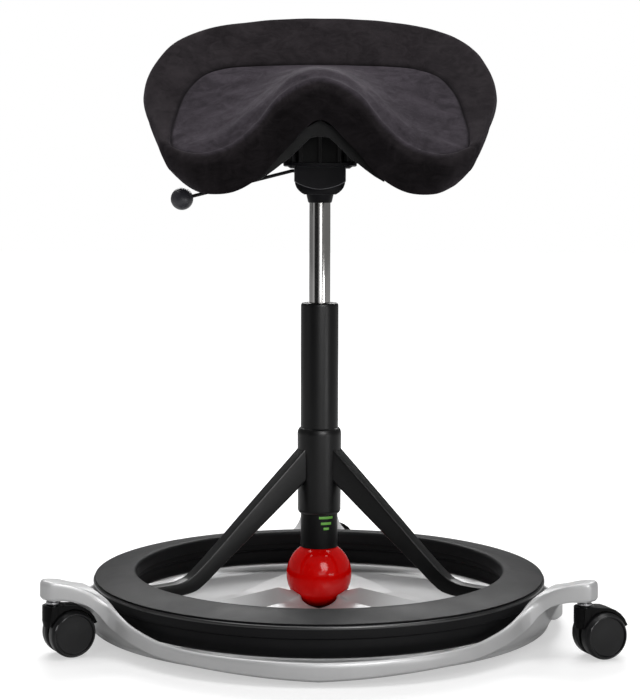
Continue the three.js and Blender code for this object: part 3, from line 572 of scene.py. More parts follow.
def turned_group():
    """Fine rings left by turning or drawing, at right angles to the column."""
    group, given, result = new_group("turned rings", {}, ["Height", "Cloud"])
    rings = noise_node(group, stretched(group, given["Vector"], (2.0, 2.0, 900.0)), 1.0, 3.0, 0.6)
    cloud = noise_node(group, given["Vector"], 22.0, 4.0)
    group.links.new(rings, result["Height"])
    group.links.new(ranged(group, cloud, 0.3, 0.7), result["Cloud"])
    return group


def suede_group():
    """Suede nap: broad hand marks, short strokes and fibres."""
    group, given, result = new_group("suede nap", {}, ["Marks", "Fibres"])
    vector = given["Vector"]
    broad = noise_node(group, vector, 11.0, 4.0, 0.6, 1.6)
    strokes = noise_node(group, stretched(group, vector, (1.0, 0.45, 1.6)), 46.0, 6.0, 0.72, 1.2)
    halves = [math_node(group, "MULTIPLY", noise, 0.5) for noise in (broad, strokes)]
    marks = math_node(group, "ADD", *halves)
    group.links.new(ranged(group, marks, 0.4, 0.62), result["Marks"])
    group.links.new(noise_node(group, vector, 1300.0, 3.0, 0.7), result["Fibres"])
    return group


# Materials


def shaded(color, factor):
    return tuple(min(1.0, channel * factor) for channel in color)


def new_material(name):
    material = bpy.data.materials.new(name)
    material.use_nodes = True
    tree = material.node_tree
    return material, tree, tree.nodes["Principled BSDF"]


def grained(name, color, roughness, spread=0.06, grain=1800.0, height=0.00003, contrast=0.12, metallic=0.0,
            specular=0.5, dust=0.0, edge=0.0, turned=False):
    """A coat or moulding: cloudy tint and gloss, fine bump, a painted highlight on convex edges and dust on
    what looks up.
    """
    material, tree, shader = new_material(name)
    vector = object_coordinates(tree)
    if turned:
        pattern = placed_group(tree, groups["turned"], vector)
    else:
        pattern = placed_group(tree, groups["grain"], vector, Grain_Scale=grain)
    base = mixed(tree, pattern["Cloud"], shaded(color, 1 - contrast), shaded(color, 1 + contrast))
    if dust:
        specks = placed_group(tree, groups["dust"], vector, Amount=dust)
        base = mixed(tree, specks["Mask"], base, (0.32, 0.31, 0.30))
    # Painted highlight: convex edges, found by pointiness, are mixed towards pale grey
    if edge:
        painted_highlight_mask = tree.nodes.new("ShaderNodeNewGeometry").outputs["Pointiness"]
        base = mixed(tree, ranged(tree, painted_highlight_mask, 0.515, 0.57, 0.0, edge), base, (0.22, 0.22, 0.225))
    tree.links.new(base, shader.inputs["Base Color"])
    gloss = ranged(tree, pattern["Cloud"], 0.0, 1.0, roughness - spread, roughness + spread)
    tree.links.new(gloss, shader.inputs["Roughness"])
    set_inputs(shader, Metallic=metallic, Specular_IOR_Level=specular)
    bumped(tree, shader, pattern["Height"], height)
    return material


def suede_material(color, panel_color):
    """Nap with lighter and darker marks, a paler sitting panel that is partly painted light, painted shade
    on the front wall, and dark seams.
    """
    material, tree, shader = new_material("suede")
    pattern = placed_group(tree, groups["suede"], object_coordinates(tree))
    marks = pattern["Marks"]
    side = mixed(tree, marks, shaded(color, 0.66), shaded(color, 1.5))
    # The sitting panel is paler: partly its own tone, partly painted light on the top that faces the lamps
    sitting = mixed(tree, marks, shaded(panel_color, 0.62), shaded(panel_color, 1.5))
    nap = mixed(tree, attribute_node(tree, "panel"), side, sitting)
    # Painted shade darkens the front wall below the crest
    down = mixed(tree, marks, shaded(color, 0.2), shaded(color, 0.75))
    nap = mixed(tree, attribute_node(tree, "painted_shade"), nap, down)
    specks = ranged(tree, pattern["Fibres"], 0.4, 0.7, 0.0, 0.4)
    fibres = mixed(tree, specks, nap, shaded(color, 0.5))
    sewn = mixed(tree, attribute_node(tree, "seam"), fibres, shaded(color, 0.12))
    tree.links.new(sewn, shader.inputs["Base Color"])
    tree.links.new(ranged(tree, marks, 0.0, 1.0, 0.98, 0.86), shader.inputs["Roughness"])
    set_inputs(shader, Sheen_Weight=0.06, Sheen_Roughness=0.5, Sheen_Tint=(0.75, 0.66, 0.78, 1))
    set_inputs(shader, Specular_IOR_Level=0.04)
    bumped(tree, shader, pattern["Fibres"], 0.0003, 0.9)
    return material


class STOOL_OT_materials(bpy.types.Operator):
    """Make the stool's materials"""

    bl_idname = "stool.materials"
    bl_label = "Materials"

    def execute(self, context):
        groups.update(grain=grain_group(), dust=dust_group(), turned=turned_group(), suede=suede_group())
        tone = context.scene.stool_colours
        materials["suede"] = suede_material(tone.suede, tone.suede_panel)
        # Colour, roughness and its spread, grain scale and height
        for key, name, color, *surface_values, options in (
            ("silver", "satin silver", tone.silver, 0.38, 0.04, 900.0, 0.00002,
             {"metallic": 0.26, "contrast": 0.03}),
            ("frame_coat", "black powder coat", tone.frame_coat, 0.33, 0.04, 1400.0, 0.00004,
             {"specular": 0.32, "dust": 0.01}),
            ("bracket", "black bracket coat", tone.bracket, 0.4, 0.05, 1400.0, 0.00004, {"specular": 0.12}),
            ("ring", "foot ring plastic", tone.ring, 0.46, 0.05, 1500.0, 0.00005,
             {"specular": 0.1, "dust": 0.015}),
            # The wheel's convex edges get a painted highlight
            ("wheel", "wheel plastic", shaded(tone.ring, 0.8), 0.36, 0.04, 1500.0, 0.00003,
             {"specular": 0.26, "dust": 0.01, "edge": 0.9}),
            ("castor", "castor plastic", shaded(tone.plastic, 0.5), 0.42, 0.05, 1500.0, 0.00003,
             {"specular": 0.1}),
            ("plastic", "black plastic", tone.plastic, 0.38, 0.05, 1700.0, 0.00004, {"specular": 0.2}),
            ("shell", "seat shell plastic", shaded(tone.plastic, 0.5), 0.42, 0.06, 1700.0, 0.00005,
             {"specular": 0.11}),
            ("knob", "knob plastic", tone.knob, 0.36, 0.05, 1500.0, 0.00003, {}),
            ("ball", "red ball", tone.ball, 0.13, 0.03, 300.0, 0.000004,
             {"specular": 0.22, "contrast": 0.04}),
            ("chrome", "polished chrome", (0.58, 0.57, 0.56), 0.1, 0.03, 1800.0, 0.000003,
             {"metallic": 1.0, "contrast": 0.02, "turned": True}),
            ("steel", "zinc plated steel", (0.42, 0.42, 0.43), 0.34, 0.06, 1800.0, 0.00001,
             {"metallic": 1.0, "turned": True}),
            ("acetal", "natural acetal", (0.78, 0.76, 0.70), 0.45, {}),
            ("rubber", "rubber", (0.02, 0.02, 0.02), 0.8, 0.08, 1200.0, 0.00006, {"specular": 0.3}),
            ("lip", "polished lip", tone.plastic, 0.3, 0.03, 1500.0, 0.00001, {"specular": 0.8}),
            # Pale grey for the narrow rounded faces of moulded edges: a painted highlight
            ("edge", "rubbed edge", (0.09, 0.09, 0.097), 0.4, 0.04, 1500.0, 0.00001, {}),
            ("mark", "green scale mark", tone.mark, 0.5, 0.04, 2200.0, 0.00001, {}),
        ):
            materials[key] = grained(name, color, *surface_values, **options)
        return {"FINISHED"}


# Base


def ridge_foot(radius):
    """The distance from an arm's middle line to the foot of its ridge, which grows evenly outwards."""
    return 14 + 0.16 * np.maximum(radius - RIDGE_START, 0)


def along_foot(radius, away):
    """Angles from the arm moved so that the column at FOOT_COLUMN runs along the ridge's foot."""
    foot = np.degrees(np.arcsin(np.clip(ridge_foot(radius) / radius, 0, 0.8)))
    outer = foot + (HALF_SECTOR - foot) * (away - FOOT_COLUMN) / (HALF_SECTOR - FOOT_COLUMN)
    return np.where(away < FOOT_COLUMN, foot * away / FOOT_COLUMN, outer)


def dish_height(radius, away):
    """The raised centre: a straight ridge along each arm with flat flanks, and a slope between them.

    Heights go by the distance to the side of the arm's middle line: linear from the ridge to the flank's
    foot, then by a power of the share of the way to the middle between two arms, 0.5 at the ball and 1
    farther out.
    """
    side = radius * np.sin(np.radians(away))
    crest = 45 + 6 * smoothstep(radius, 42, 58) - 0.105 * np.maximum(radius - 62, 0)
    foot = ridge_foot(radius)
    foot_height = 41.5 - 4.5 * smoothstep(radius, 42, 60) - 0.065 * np.maximum(radius - RIDGE_START, 0)
    middle = radius * np.sin(np.radians(HALF_SECTOR))
    share = np.clip((side - foot) / np.maximum(middle - foot, 1), 0, 1)
    # Beside the ball the slope falls at once, so that the ball shows in a round opening
    share = share ** (0.5 + 0.5 * smoothstep(radius, 44, 90))
    flank = crest - (crest - foot_height) * np.clip(side / foot, 0, 1)
    return np.where(side < foot, flank, foot_height + (CENTRE_LOWEST - foot_height) * share)


def dish_sections(offsets):
    """The base's outline at angles from an arm: socket, raised centre, trough, wall, rim and underside.

    Heights of the wall run from the trough to the rim in even shares, and its radii turn from a plain bowl
    into the wall beside the foot ring as the section nears an arm. Gives each point's radius and height, its
    angle, and a mask of the lines that stay sharp.
    """
    away = np.abs(offsets)
    rim, top, bottom = (through(RIM_ANGLES, values, away) for values in (RIM_RADIUS, RIM_TOP, RIM_BOTTOM))
    near = 1 - smoothstep(away, 14, 35)
    # The raised centre ends in a straight edge between two arms, and runs out along each arm
    straight = CENTRE_RADIUS / np.cos(np.radians(HALF_SECTOR - away))
    beside_arm = CENTRE_HALF_WIDTH / np.maximum(np.sin(np.radians(away)), 0.02)
    edge = np.clip(np.maximum(straight, beside_arm), CENTRE_RADIUS, CENTRE_REACH)
    mouth = dish_height(np.full_like(away, RIDGE_START), away)
    points = [(0, SOCKET_FLOOR), (SOCKET_RADIUS, SOCKET_FLOOR), (SOCKET_RADIUS + 0.4, mouth - 3)]
    points.append((MOUTH_RADIUS, mouth))
    centre_start = len(points)
    for step in np.linspace(0.04, 1, 12):
        radius = MOUTH_RADIUS + (edge - MOUTH_RADIUS) * step
        points.append((radius, dish_height(radius, away)))
    centre_end = len(points) - 1
    points += [(edge + 5, SHELF_HEIGHT), (SHELF_RADIUS, SHELF_HEIGHT), (TROUGH_RADIUS, TROUGH_HEIGHT)]
    wall_start = len(points)
    for height in np.linspace(TROUGH_HEIGHT, ARM_INNER_WALL[-1][0], 12):
        share = (height - TROUGH_HEIGHT) / (RIM_TOP[0] - 1 - TROUGH_HEIGHT)
        z = TROUGH_HEIGHT + (top - 1 - TROUGH_HEIGHT) * share
        steep = through(*np.transpose(ARM_INNER_WALL), z)
        bowl = WALL_FOOT_RADIUS + (rim - 5 - WALL_FOOT_RADIUS) * share
        points.append((np.minimum(bowl + (steep - bowl) * near, rim - 6), z))
    rim_start = len(points)
    points += [(rim - 5, top), (rim - 1.4, top - 1.4), (rim, top - 5)]
    points += [(rim, bottom + 3), (rim - 3.5, bottom)]
    for height in np.linspace(ARM_OUTER_WALL[-1][0], UNDERSIDE, 14):
        z = UNDERSIDE + (bottom - UNDERSIDE) * (height - UNDERSIDE) / (RIM_BOTTOM[0] - UNDERSIDE)
        points.append((np.minimum(through(*np.transpose(ARM_OUTER_WALL), z), rim - 4), z))
    points.append((0, UNDERSIDE))
    outline = np.stack([np.stack([r + 0 * away, z + 0 * away], -1) for r, z in points], 1)
    rounding = np.full(len(points), 1.2)
    rounding[[0, -1]] = 0
    rounding[centre_end:wall_start] = (3, 3, 4, 5)
    rounding[rim_start:rim_start + 3] = (2.5, 2, 2.5)
    sections = np.stack([rounded(section, rounding, CORNER_STEPS) for section in outline])
    # Inside the raised centre the angles follow the ridge's foot, and return to plain ones at its edge
    inside = slice(CORNER_STEPS * centre_start, CORNER_STEPS * centre_end)
    r = sections[:, inside, 0]
    blend = 1 - smoothstep(r / edge[:, None], 0.93, 1.0)
    moved = away[:, None] * (1 - blend) + along_foot(r, away[:, None]) * blend
    angles = np.repeat(offsets[:, None], sections.shape[1], 1)
    angles[:, inside] = np.copysign(moved, offsets[:, None])
    sections[:, inside, 1] = dish_height(r, moved)
    on_line = (np.abs(away - FOOT_COLUMN) < 1e-6) | (away < 1e-6)
    crease = np.zeros(sections.shape[:2])
    crease[:, inside.start:inside.stop - 2 * CORNER_STEPS] = on_line[:, None]
    return sections, angles, crease


class STOOL_OT_base(bpy.types.Operator):
    """Build the dished base, its three arms and the cup"""

    bl_idname = "stool.base"
    bl_label = "Base"

    def execute(self, context):
        # Angles from the arm, closest together where the rim turns up into it
        near = np.concatenate([
            np.linspace(0, 9, 31), np.linspace(9.7, FOOT_COLUMN, 10),
            np.linspace(16.7, 32, 23), np.linspace(33.5, HALF_SECTOR, 20),
        ])
        sections, angles, crease = dish_sections(np.concatenate([-near[:0:-1], near[:-1]]))
        turn = np.radians(np.concatenate([arm + angles for arm in sorted(ARMS.values())]))
        radius, height = np.moveaxis(np.concatenate([sections] * len(ARMS)), -1, 0)
        points = np.stack([radius * np.cos(turn), radius * np.sin(turn), height], -1)
        masks = {"crease": np.concatenate([crease] * len(ARMS))}
        base = surface("base_dish_skin", points, along=True, sharp=50.0, masks=masks)
        lines = base.data.attributes["crease"].data
        for edge in base.data.edges:
            if all(lines[vertex].value > 0.5 for vertex in edge.vertices):
                edge.use_edge_sharp = True
        dress(base, "base", "base_metal", materials["silver"], "base_dish")
        inside = np.radians(np.linspace(29.98, 0, 12))
        seat = np.stack([CUP_RADIUS * np.sin(inside), BALL_CENTRE - CUP_RADIUS * np.cos(inside)], -1)
        cup = np.concatenate([[(0, 15), (35.7, 15), (35.7, 23.5), (34.7, 24.5)], seat])
        dress(revolved("ball_cup_skin", cup), "base", "black_plastic", materials["plastic"], "ball_cup")
        return {"FINISHED"}


class STOOL_OT_casters(bpy.types.Operator):
    """Build the three twin-wheel castors"""

    bl_idname = "stool.casters"
    bl_label = "Castors"

    def wheel(self, name, node):
        """The tread and disc as one turned profile, laid on the wheel's own axle."""
        profile = turned_profile(WHEEL, 6)
        joint = next(item for item in frame["joints"] if item["child"] == node)
        axle = np.array(joint["axis"])
        hub = np.array(joint["pos_m"])
        low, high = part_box(node)
        outward = axle * math.copysign(1.0, float(np.dot(np.array((low + high) / 2) - hub, axle)))
        ahead = np.cross(outward, (0, 0, 1))
        turn = np.linspace(0, 2 * np.pi, 72, endpoint=False)
        spoke = np.cos(turn)[:, None] * ahead + np.sin(turn)[:, None] * np.array((0, 0, 1.0))
        points = profile[:, :1, None] * spoke[None] + (profile[:, 1:, None] + WHEEL_INSET) * outward
        return surface(name, points + hub / MM + (0, 0, UNDERSIDE), around=True)

    def execute(self, context):
        for arm in ARMS:
            for side in "ab":
                node = f"caster_wheel_{arm}_{side}"
                dress(self.wheel(node + "_skin", node), node, "ring_plastic", materials["wheel"], node)
            for part, body, slot, material, softness in (
                ("body", "caster_" + arm, "black_plastic", "castor", None),
                ("stem", "base", "steel", "steel", STEEL_SOFTNESS),
            ):
                node = f"caster_{part}_{arm}"
                piece = moulded_copy(node + "_skin", node, softness)
                dress(piece, body, slot, materials[material], node)
        return {"FINISHED"}


class STOOL_OT_ball(bpy.types.Operator):
    """Build the ball and the spindle that stands on it"""

    bl_idname = "stool.ball"
    bl_label = "Ball and spindle"

    def execute(self, context):
        ball = revolved("ball_skin", half_circle(BALL_RADIUS, BALL_CENTRE, 61), closes=False)
        dress(ball, "ball", "red_plastic", materials["ball"], "ball")
        sleeve = revolved("scale_sleeve_skin", turned_profile(SLEEVE, 5))
        dress(sleeve, "spindle", "black_plastic", materials["plastic"], "scale_sleeve")
        # A mark's outline from its lower edge to its upper one: it stands a little proud of the sleeve
        rise = np.array([-1.6, -1.6, -1.3, 1.3, 1.6, 1.6])[:, None]
        out = np.array([24.3, 24.6, 24.7, 24.7, 24.6, 24.3])[:, None]
        for i, (height, width) in enumerate(SCALE_MARKS):
            half = math.degrees(width / 2 / SCALE_RADIUS)
            turn = np.radians(SCALE_DIRECTION + np.linspace(-half, half, 15))
            points = np.stack([out * np.cos(turn), out * np.sin(turn), height + rise + 0 * turn], -1)
            mark = surface(f"scale_mark_{i + 1}", capped(points.transpose(1, 0, 2)), around=True)
            dress(mark, "spindle", "acetal", materials["mark"])
        return {"FINISHED"}


class STOOL_OT_column(bpy.types.Operator):
    """Build the hub, the black tube and the chrome cylinder"""

    bl_idname = "stool.column"
    bl_label = "Column"

    def execute(self, context):
        for node, corners, steps, body, finish in (
            ("hub", HUB, 7, "frame", "frame_coat"),
            ("gas_tube", TUBE, 8, "frame", "frame_coat"),
            ("gas_cylinder", CYLINDER, 4, "seat", "chrome"),
        ):
            piece = revolved(node + "_skin", turned_profile(corners, steps))
            dress(piece, body, finish, materials[finish], node)
        return {"FINISHED"}


class STOOL_OT_legs(bpy.types.Operator):
    """Build the three legs"""

    bl_idname = "stool.legs"
    bl_label = "Legs"

    def execute(self, context):
        stations = np.array(LEG_STATIONS)
        reach = np.concatenate([[0], np.cumsum(np.hypot(*np.diff(stations[:, :2], axis=0).T))])
        at = np.unique(np.concatenate([np.linspace(0, reach[-1], 60), reach]))
        top_x, top_z, foot_x, foot_z, width = (through(reach, column, at)[:, None] for column in stations.T)
        corner = rounded([(-1, -1), (1, -1), (1, 1), (-1, 1)], 0.2, 6)
        across, up = corner[None, :, 0], (corner[None, :, 1] + 1) / 2
        # The upper face is rounder than the sides, so the outline is narrowed a little towards it
        narrow = 1 - 0.05 * up**3
        x = foot_x + (top_x - foot_x) * up
        y = across * width / 2 * narrow
        z = foot_z + (top_z - foot_z) * up
        for arm, degrees in ARMS.items():
            c, s = math.cos(math.radians(degrees)), math.sin(math.radians(degrees))
            points = np.stack([x * c - y * s, x * s + y * c, z], -1)
            leg = surface(f"leg_{arm}_skin", capped(points), around=True, sharp=40.0)
            dress(leg, "frame", "frame_coat", materials["frame_coat"], f"leg_{arm}")
        return {"FINISHED"}


class STOOL_OT_foot_ring(bpy.types.Operator):
    """Build the foot ring's cover and channel, and the ledge under the cover's edge that feet polish"""

    bl_idname = "stool.foot_ring"
    bl_label = "Foot ring"

    def execute(self, context):
        for name, corners, steps, material, *nodes in (
            ("foot_ring_cover_skin", RING_COVER, 6, "ring", "foot_ring_cover"),
            ("foot_ring_channel_skin", RING_CHANNEL, 7, "ring", "foot_ring_channel"),
            ("foot_ring_lip", RING_LIP, 8, "lip"),
        ):
            piece = revolved(name, turned_profile(corners, steps), sizes().ring_segments)
            dress(piece, "frame", "ring_plastic", materials[material], *nodes)
        return {"FINISHED"}


class STOOL_OT_mechanism(bpy.types.Operator):
    """Build the seat bracket, its cover, the height lever and the knob"""

    bl_idname = "stool.mechanism"
    bl_label = "Seat mechanism"

    def execute(self, context):
        for node, body, slot, material, softness, highlit in (
            ("seat_bracket", "seat", "frame_coat", "bracket", None, True),
            ("bracket_cover", "seat", "black_plastic", "bracket", None, True),
            ("seat_shell", "seat", "black_plastic", "shell", SHELL_SOFTNESS, True),
            ("height_lever", "lever", "steel", "plastic", STEEL_SOFTNESS, False),
        ):
            piece = moulded_copy(node + "_skin", node, softness)
            dress(piece, body, slot, materials[material], node)
            if highlit:
                # The rounding modifier gives its own narrow faces the second material, pale grey as a
                # painted highlight along the edges
                piece.data.materials.append(materials["edge"])
                piece.modifiers["soft edges"].material = 1
        low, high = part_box("lever_knob")
        centre = np.array((low + high) / 2) / MM + (0, 0, UNDERSIDE)
        knob = revolved("lever_knob_skin", half_circle(KNOB_RADIUS, 0, 41), 64, False, centre)
        dress(knob, "lever", "black_plastic", materials["knob"], "lever_knob")
        return {"FINISHED"}


# Seat


def seat_loop(stations, half):
    """A closed row from the stations of one side: cubic between them, then mirrored to the left."""
    stations = np.array(stations, float)
    mirror = (-1, 1, 1)
    knots = np.vstack([stations[1] * mirror, stations, stations[-2] * mirror])
    gaps = np.sqrt(np.linalg.norm(np.diff(knots, axis=0), axis=1))
    at = np.concatenate([[0], np.cumsum(gaps)])
    tangents = np.gradient(knots, at, axis=0)
    share = np.linspace(0, LAST_STATION, half + 1)
    i = np.clip(share.astype(int), 0, LAST_STATION - 1) + 1
    t = (share - (i - 1))[:, None]
    step = (at[i + 1] - at[i])[:, None]
    right = cubic(knots[i], knots[i + 1], tangents[i] * step, tangents[i + 1] * step, t)
    right[[0, -1], 0] = 0
    return np.vstack([right, right[-2:0:-1] * mirror])


def panel_height(x, y):
    """The sitting panel: a ridge along the middle, 739 + 0.08 y, with flanks that fall away at the front.

    The fall at the side is 99 ((100 - y) / 265) to the power of 1.25.
    """
    ridge = 739 + 0.08 * y - 10 * smoothstep(-y, 140, 172)
    fall = 99 * np.clip((100 - y) / 265, 0, 1.05) ** 1.25
    return ridge - fall * smoothstep(np.abs(x), 0, 142)


def drawn_in(loop, share, lift, follow):
    """A row drawn in towards the seat's centre, lying on the panel's height and following the row's own."""
    x = loop[:, 0] * share
    y = SEAT_CENTRE_Y + (loop[:, 1] - SEAT_CENTRE_Y) * share
    own = loop[:, 2] - (panel_height(loop[:, 0], loop[:, 1]) + lift)
    return np.stack([x, y, panel_height(x, y) + lift + own * follow], -1)


def spread(first, second, share, outwards, upwards):
    """A row at a share of the way between two, moved outwards from the seat's centre and upwards."""
    point = first + (second - first) * share
    away = point[:, :2] - (0, SEAT_CENTRE_Y)
    away = away / np.maximum(np.linalg.norm(away, axis=1, keepdims=True), 1e-9)
    return np.hstack([point[:, :2] + away * outwards, point[:, 2:] + upwards])


def between_rows(rows, counts):
    """Rows filled in by cubics through the given ones, so many steps to each stretch."""
    rows = np.stack(rows)
    tangents = np.gradient(rows, axis=0)
    filled = []
    for i, count in enumerate(counts):
        t = np.linspace(0, 1, count, endpoint=False)[:, None, None]
        filled.append(cubic(rows[i], rows[i + 1], tangents[i], tangents[i + 1], t))
    return np.concatenate(filled + [rows[-1:]])


def cushion_rows(seam, crest, widest, edge):
    """The rows of the sitting panel, and the rows of the wall from the seam down with the underside."""
    shares = np.concatenate([np.linspace(0, 0.9, 16), np.linspace(0.92, 0.992, 8)])
    follow = through([0, 0.35, 0.65, 0.88, 1], [0, 0.1, 0.35, 0.75, 1], shares)
    panel = np.stack([drawn_in(seam, s, 0, f) for s, f in zip(shares, follow)])
    wall = between_rows(
        [seam, spread(seam, crest, 0.3, 0.5, 3), spread(seam, crest, 0.65, 1, 3.5), crest,
         spread(crest, widest, 0.5, 3, 2), widest, spread(widest, edge, 0.55, 1.5, 0), edge],
        WALL_STEPS,
    )
    under = np.stack([
        drawn_in(edge, s, -CUSHION_DEPTH, f)
        for s, f in ((0.97, 0.89), (0.92, 0.72), (0.7, 0.2), (0.4, 0.03), (0.0, 0.0))
    ])
    return panel, np.concatenate([wall, under])


def unevenness(x, y, z):
    """Waves of the padding: sin(x/19 + sin(y/23)) sin(y/17 + z/29) + 0.5 sin(x/8.3 - z/11) sin(y/9.1)."""
    broad = np.sin(x / 19 + np.sin(y / 23)) * np.sin(y / 17 + z / 29)
    return broad + 0.5 * np.sin(x / 8.3 - z / 11) * np.sin(y / 9.1)


class STOOL_OT_cushion(bpy.types.Operator):
    """Build the upholstered saddle cushion with its sewn panels"""

    bl_idname = "stool.cushion"
    bl_label = "Cushion"

    def execute(self, context):
        half = sizes().seat_samples // 2
        loops = [seat_loop(stations, half) for stations in (SEAT_SEAM, SEAT_CREST, SEAT_WIDEST, SEAT_EDGE)]
        panel, wall = cushion_rows(*loops)
        points = np.concatenate([panel, wall])
        # Rows below the seam, and stations from the back's centre to the front's
        row = np.arange(len(points)) - len(panel)
        column = np.arange(2 * half)
        station = np.minimum(column, 2 * half - column) * LAST_STATION / half
        front = smoothstep(station, *FRONT_STATIONS)
        # Distances from the seam round the panel, and from the one down the wall at each front corner
        beside_panel = np.linalg.norm(points - loops[0], axis=-1)
        pitch = np.linalg.norm(np.roll(points, -1, 1) - points, axis=-1)
        beside_corner = np.abs(station - CORNER_STATION) * half / LAST_STATION * pitch
        on_wall = (row >= 0) & (row < CORNER_SEAM_ROWS)
        beside_corner = np.where(on_wall[:, None], beside_corner, 1e3)
        # At the front the sitting panel turns over the edge and its seam lies flat
        width = sizes().seam_width / MM
        panel_seam = np.exp(-((beside_panel / width) ** 2)) * (1 - 0.9 * front)
        sewn = np.maximum(panel_seam, np.exp(-((beside_corner / width) ** 2)))
        # Seams pull in, and the padding stands a little proud beside them
        swell = np.exp(-(((np.minimum(beside_panel, beside_corner) - 9) / 7) ** 2)) * (1 - front)
        uneven = unevenness(*np.moveaxis(points, -1, 0))
        height = SWELL * swell + UNEVENNESS * uneven - sizes().seam_depth / MM * sewn
        across = np.roll(points, -1, 1) - np.roll(points, 1, 1)
        normal = np.cross(np.gradient(points, axis=0), across)
        normal /= np.maximum(np.linalg.norm(normal, axis=-1, keepdims=True), 1e-9)
        facing = np.sign(normal[8, half // 2, 2])
        points = points + normal * facing * height[..., None]
        # Mask of the sitting panel, whose paler colour is partly painted light on the top
        sitting = (1 - smoothstep(row, *PANEL_END_ROWS))[:, None] * front
        sitting[:len(panel)] = 1
        # Painted shade: a mask over the front wall below the crest
        painted_shade = smoothstep(row, *PAINTED_SHADE_ROWS)[:, None] * smoothstep(station, *PAINTED_SHADE_STATIONS)
        masks = {"seam": sewn, "panel": sitting, "painted_shade": PAINTED_SHADE_SHARE * painted_shade}
        piece = surface("seat_cushion_cover", points, around=True, sharp=75.0, masks=masks)
        dress(piece, "seat", "suede", materials["suede"], "seat_cushion")
        return {"FINISHED"}


class STOOL_OT_small_parts(bpy.types.Operator):
    """Give the remaining nodes of the frame their materials"""

    bl_idname = "stool.small_parts"
    bl_label = "Small parts"

    def execute(self, context):
        by_slot = {
            "base_metal": "silver",
            "black_plastic": "plastic",
            "ring_plastic": "ring",
            "red_plastic": "ball",
        }
        for part in frame["record"]["subparts"]:
            slot = part["material_slot"]
            node = frame["nodes"][part["node"]]
            node.data.materials.clear()
            node.data.materials.append(materials[by_slot.get(slot, slot)])
        return {"FINISHED"}


# Stage


def seen(tree):
    """1 for rays from the camera or through glass, and less for reflections, as in a dark-sided studio."""
    light = tree.nodes.new("ShaderNodeLightPath")
    direct = math_node(tree, "MAXIMUM", light.outputs["Is Camera Ray"], light.outputs["Is Transmission Ray"])
    mirrored = math_node(tree, "MULTIPLY", light.outputs["Is Glossy Ray"], MIRRORED_STRENGTH)
    return math_node(tree, "MAXIMUM", direct, mirrored)


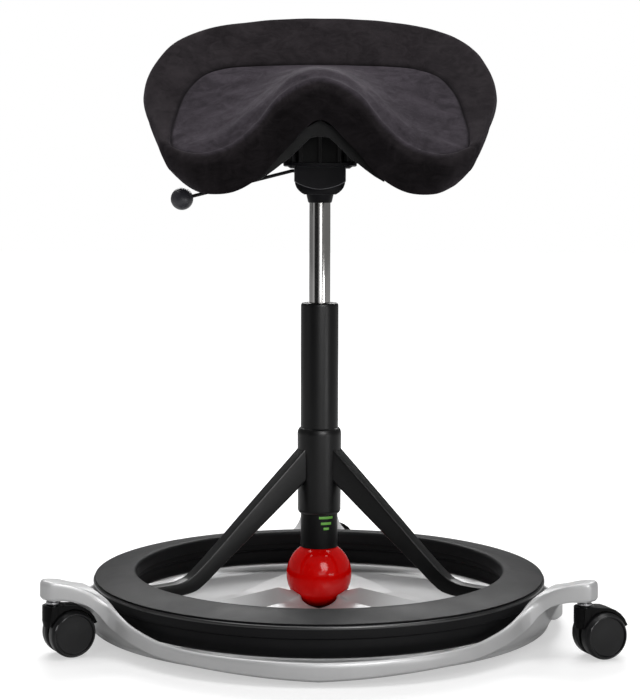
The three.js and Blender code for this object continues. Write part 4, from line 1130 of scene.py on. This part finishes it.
class STOOL_OT_stage(bpy.types.Operator):
    """Set the pale floor, the cards and lamps, and the camera"""

    bl_idname = "stool.stage"
    bl_label = "Stage"

    def floor(self):
        floor = rectangle("floor", FLOOR_SPAN, FLOOR_SPAN, CAD_BOX[0].z)
        material, tree, shader = new_material("white floor")
        set_inputs(shader, Base_Color=(0.5, 0.5, 0.5, 1), Roughness=0.6, Emission_Color=(1, 1, 1, 1))
        # Away from the stool the floor turns plain white, so that it meets the backdrop without a line
        away = tree.nodes.new("ShaderNodeVectorMath")
        away.operation = "LENGTH"
        tree.links.new(object_coordinates(tree), away.inputs[0])
        whiteness = ranged(tree, away.outputs["Value"], 0.35, 1.2, 0.5, 1.0)
        glow = math_node(tree, "MULTIPLY", seen(tree), whiteness)
        tree.links.new(glow, shader.inputs["Emission Strength"])
        floor.data.materials.append(material)

    def card(self, name, place, target, size, tone, glow):
        card = rectangle(name, *size)
        aimed(card, place, target)
        material, _, shader = new_material(name)
        set_inputs(shader, Base_Color=(tone, tone, tone, 1), Roughness=1.0)
        set_inputs(shader, Emission_Color=(1, 1, 1, 1), Emission_Strength=glow)
        card.data.materials.append(material)
        card.visible_camera = False
        card.visible_diffuse = False
        card.visible_transmission = False
        card.visible_shadow = False

    def sky(self):
        world = bpy.data.worlds.new("studio")
        bpy.context.scene.world = world
        world.use_nodes = True
        tree = world.node_tree
        background = tree.nodes["Background"]
        set_inputs(background, Color=(1, 1, 1, 1))
        tree.links.new(math_node(tree, "MAXIMUM", seen(tree), SKY_STRENGTH), background.inputs["Strength"])

    def lamp(self, name, place, target, size, watts, mirrored):
        data = bpy.data.lights.new(name, "AREA")
        data.shape = "RECTANGLE"
        data.size, data.size_y = size
        data.energy = watts
        lamp = linked(name, data)
        aimed(lamp, place, target)
        lamp.visible_camera = False
        lamp.visible_glossy = mirrored

    def camera(self, scene):
        size = sizes()
        data = bpy.data.cameras.new("camera")
        data.sensor_fit = "AUTO"
        data.sensor_width = 36
        data.lens = size.camera_lens
        data.shift_y = size.camera_shift
        camera = linked("camera", data)
        camera.location = (0, -size.camera_distance, size.camera_height - UNDERSIDE * MM)
        camera.rotation_euler = (math.radians(90), math.radians(CAMERA_ROLL), 0)
        scene.camera = camera

    def execute(self, context):
        self.floor()
        for name, values in CARDS.items():
            self.card(name, *values)
        self.sky()
        for name, values in LAMPS.items():
            self.lamp(name, *values)
        self.camera(context.scene)
        context.scene.view_settings.view_transform = "Standard"
        return {"FINISHED"}


class STOOL_PT_panel(bpy.types.Panel):
    """Sizes, colours and the steps that build the stool"""

    bl_idname = "STOOL_PT_panel"
    bl_label = "Wobble stool"
    bl_space_type = "VIEW_3D"
    bl_region_type = "UI"
    bl_category = "Stool"

    def draw(self, context):
        for settings in (context.scene.stool_sizes, context.scene.stool_colours):
            for name in settings.__annotations__:
                self.layout.prop(settings, name)
        for operator in OPERATORS:
            self.layout.operator(operator.bl_idname)


OPERATORS = (
    STOOL_OT_materials, STOOL_OT_stage, STOOL_OT_base, STOOL_OT_casters, STOOL_OT_ball, STOOL_OT_column,
    STOOL_OT_legs, STOOL_OT_foot_ring, STOOL_OT_mechanism, STOOL_OT_cushion, STOOL_OT_small_parts,
)
CLASSES = (StoolSizes, StoolColours, *OPERATORS, STOOL_PT_panel)


def register():
    for item in CLASSES:
        bpy.utils.register_class(item)
    bpy.types.Scene.stool_sizes = PointerProperty(type=StoolSizes)
    bpy.types.Scene.stool_colours = PointerProperty(type=StoolColours)


def unregister():
    del bpy.types.Scene.stool_colours
    del bpy.types.Scene.stool_sizes
    for item in reversed(CLASSES):
        bpy.utils.unregister_class(item)


def main():
    register()
    for item in list(bpy.data.objects):
        if item.type in {"CAMERA", "LIGHT"} or item.name == "Cube":
            bpy.data.objects.remove(item)
    for operator in OPERATORS:
        group, name = operator.bl_idname.split(".")
        getattr(getattr(bpy.ops, group), name)()


if __name__ == "__main__":
    main()
